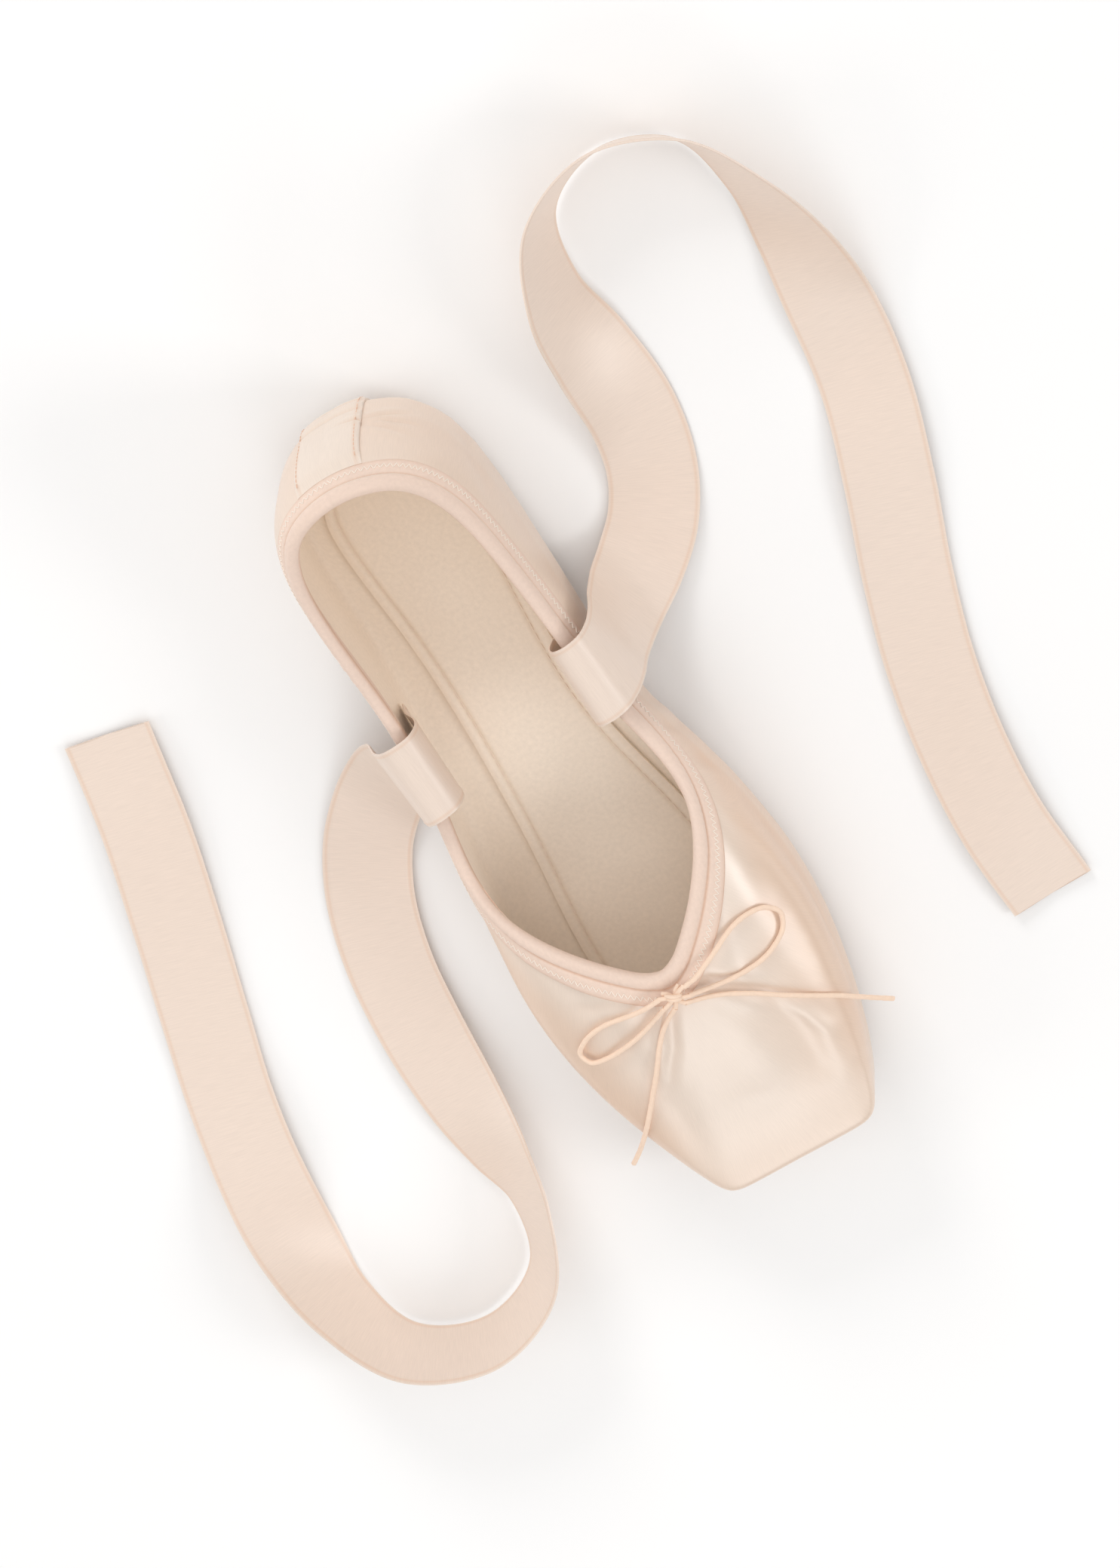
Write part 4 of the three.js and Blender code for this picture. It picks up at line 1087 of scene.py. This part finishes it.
def makeInsole(s):
    # sock on the shank board, slightly crowned and rumpled, with a rounded edge and a sewn groove
    xs, half = soleOutline(s["rows"])
    xs, half = xs[1:-1], half[1:-1]
    floor = soleProfile(xs) + s["bottom"]
    t = np.linspace(-1, 1, s["across"])
    side = np.abs(t)[None]
    x, y = np.repeat(xs[:, None], len(t), 1) * s["shrink"], t[None] * half[:, None] * s["shrink"]
    rumple = (s["rumple"] * np.sin(x / 9 + 1.5 * np.sin(y / 13)) * np.sin(y / 8 + x / 31)
              + s["crease"] * np.sin(x / 3.7 - y / 4.6))
    sewn = s["seamDeep"] * bump(side * half[:, None], half[:, None] - s["seamIn"], s["seamWide"])
    top = s["crown"] - s["edgeDrop"] * ramp(side, 0.93, 1.0) + rumple * (1 - side ** 4) - sewn
    topFace = np.stack([x, y, floor[:, None] + top], axis=-1)
    back = np.linspace(1, -1, s["below"])
    under = np.stack([np.repeat(xs[:, None], len(back), 1) * s["shrink"],
                      back[None] * half[:, None] * s["shrink"],
                      np.repeat(floor[:, None], len(back), 1)], axis=-1)
    rings = np.concatenate([topFace, under], axis=1)
    points, faces = tubeMesh(rings)
    uv = np.concatenate([rings[..., :2].reshape(-1, 2) * mm, np.zeros((2, 2))])
    # painted shade in the sewn groove, deeper where the groove is deeper
    fold = capped(np.concatenate([sewn * 2, np.zeros(under.shape[:2])], axis=1))
    obj = addMesh("sock_insole", points, faces, uv, {"fold": fold}, liningCloth, sharp=60)
    place(obj, "lining", "insole")
    # the row of stitches in the groove, along both sides from heel to toe
    rows = []
    for sign in (1, -1):
        inward = sign * np.maximum(half - s["seamIn"], 0.2)
        line = np.stack([xs, inward, floor + s["stitchHigh"]], axis=1)[6:-6]
        upward = np.tile([0.0, 0, 1], (len(line), 1))
        rows += stitchRow(line, upward, s["stitch"], s["stitchStep"], s["stitchThick"], s["arch"], 0)
    stitches, faces = joined(rows)
    sewnRow = addMesh("sock_stitches", stitches, faces, np.zeros((len(stitches), 2)),
                      {"fold": np.full(len(stitches), s["shade"])}, thread)
    return place(sewnRow, "lining")


makeOutsole(sole)
makeInsole(insole)
print("soles ready")


# the knot: each strand's points from its centre, in mm
knot = {
    "centre": (54.0, 0.0, 50.1), "thick": 1.25, "flat": 0.85, "sides": 14, "step": 0.3,
    "strands": [
        # two turns over the doubled cords
        [(-0.6, -1.7, -1.2), (-0.9, -1.5, 0.3), (-0.5, -0.4, 1.25), (0.2, 0.7, 1.15), (0.7, 1.6, 0.1),
         (0.4, 1.7, -1.2)],
        [(0.6, -1.6, -1.2), (0.2, -1.5, 0.25), (0.6, -0.4, 1.2), (1.1, 0.7, 1.0), (1.5, 1.4, 0.0),
         (1.2, 1.5, -1.2)],
        # two that cross under them
        [(-1.0, 3.9, -0.2), (-0.4, 2.0, 0.1), (0.4, 0.2, 0.0), (1.4, -1.6, -0.2), (2.4, -3.9, -0.9)],
        [(-1.0, -3.9, -0.2), (-0.3, -2.0, 0.0), (0.6, 0.0, -0.5), (1.6, 1.6, -0.3), (2.6, 3.6, -0.9)],
        # two that come out of the casing
        [(-1.6, 2.6, -1.2), (-0.8, 1.2, -0.6), (0.8, 0.2, -0.5), (2.4, -0.6, -0.4), (3.6, -1.4, -0.5)],
        [(-1.6, -2.6, -1.2), (-0.8, -1.2, -0.7), (0.8, -0.2, -0.7), (2.4, 0.7, -0.4), (3.7, 1.7, -0.5)],
    ],
}


def makeKnot(s):
    # a flattened round section carried along each strand
    turn = np.linspace(0, 2 * np.pi, s["sides"], endpoint=False)
    outline = np.stack([np.cos(turn), s["flat"] * np.sin(turn)], axis=1) * s["thick"] / 2
    parts, uvs = [], []
    for strand in s["strands"]:
        path, far = smoothPath(np.array(strand) + np.array(s["centre"]), s["step"])
        along = unit(np.gradient(path, axis=0))
        across = np.cross(np.tile([0.0, 0.02, 1], (len(path), 1)), along)
        parts.append(sweepRings(path, across, outline))
        uvs.append(ringUv(far, outline))
    points, faces = joined(parts)
    fold = {"fold": np.zeros(len(points))}
    obj = addMesh("bow_knot", points, faces, np.concatenate(uvs), fold, cordCotton)
    return place(obj, "cord", "drawstring_knot")


bow = makeKnot(knot)
for name, (obj, path, far) in cords.items():
    place(obj, "cord", name)
for name, (obj, path, far) in ribbons.items():
    place(obj, "ribbon", name)
print("bow ready")


# a pale paper floor and soft light
studio = {
    "floor": (250, 250, 250), "size": 8, "down": 0.00003,  # the floor lies a hair under the sole
    "paper": {"Roughness": 0.9, "Specular IOR Level": 0.1}, "sky": (1, 0.99, 0.98, 1), "skyTop": 0.9,
    "overhead": 0.93, "horizon": 0.22,    # brightness of the surroundings straight up and at the horizon
    # place from the shoe in right, up and back of the picture, size and power of each softbox
    "lamps": [((-0.9, 1.3, 1.5), 0.7, 13.0), ((1.5, -0.45, 1.0), 0.6, 6.0), ((0.3, -1.36, 0.4), 0.6, 2.0),
              ((-1.5, -0.62, 0.34), 0.8, 4.5)],
}


def makeStudio(s):
    # brightness climbs from the horizon to straight up; each softbox faces the shoe
    bpy.ops.mesh.primitive_plane_add(size=s["size"], location=(0, 0, -s["down"]))
    floor = bpy.context.object
    floor.name = "floor"
    paper = bpy.data.materials.new("pale paper")
    paper.use_nodes = True
    shader = paper.node_tree.nodes["Principled BSDF"]
    shader.inputs["Base Color"].default_value = colour(*s["floor"])
    for key, value in s["paper"].items():
        shader.inputs[key].default_value = value
    floor.data.materials.append(paper)
    world = bpy.data.worlds.new("studio")
    bpy.context.scene.world = world
    world.use_nodes = True
    t = world.node_tree
    sky = t.nodes["Background"]
    sky.inputs["Color"].default_value = s["sky"]
    way = node(t, "ShaderNodeTexCoord", (-700, 0))
    split = node(t, "ShaderNodeSeparateXYZ", (-500, 0))
    t.links.new(way.outputs["Generated"], split.inputs[0])
    height = mapRange(t, (-300, 0), (0.0, s["skyTop"]), (s["horizon"], s["overhead"]))
    t.links.new(split.outputs["Z"], height.inputs["Value"])
    t.links.new(height.outputs[0], sky.inputs["Strength"])
    for k, (at, size, power) in enumerate(s["lamps"]):
        data = bpy.data.lights.new(f"softbox {k}", "AREA")
        data.size, data.energy = size, power
        lamp = bpy.data.objects.new(f"softbox {k}", data)
        bpy.context.scene.collection.objects.link(lamp)
        spot = right * at[0] + top * at[1] + back * at[2]
        lamp.matrix_world = Matrix.Translation(spot) @ spot.to_track_quat("Z", "Y").to_matrix().to_4x4()
    bpy.context.scene.view_settings.view_transform = "Standard"


makeStudio(studio)
print("studio ready")
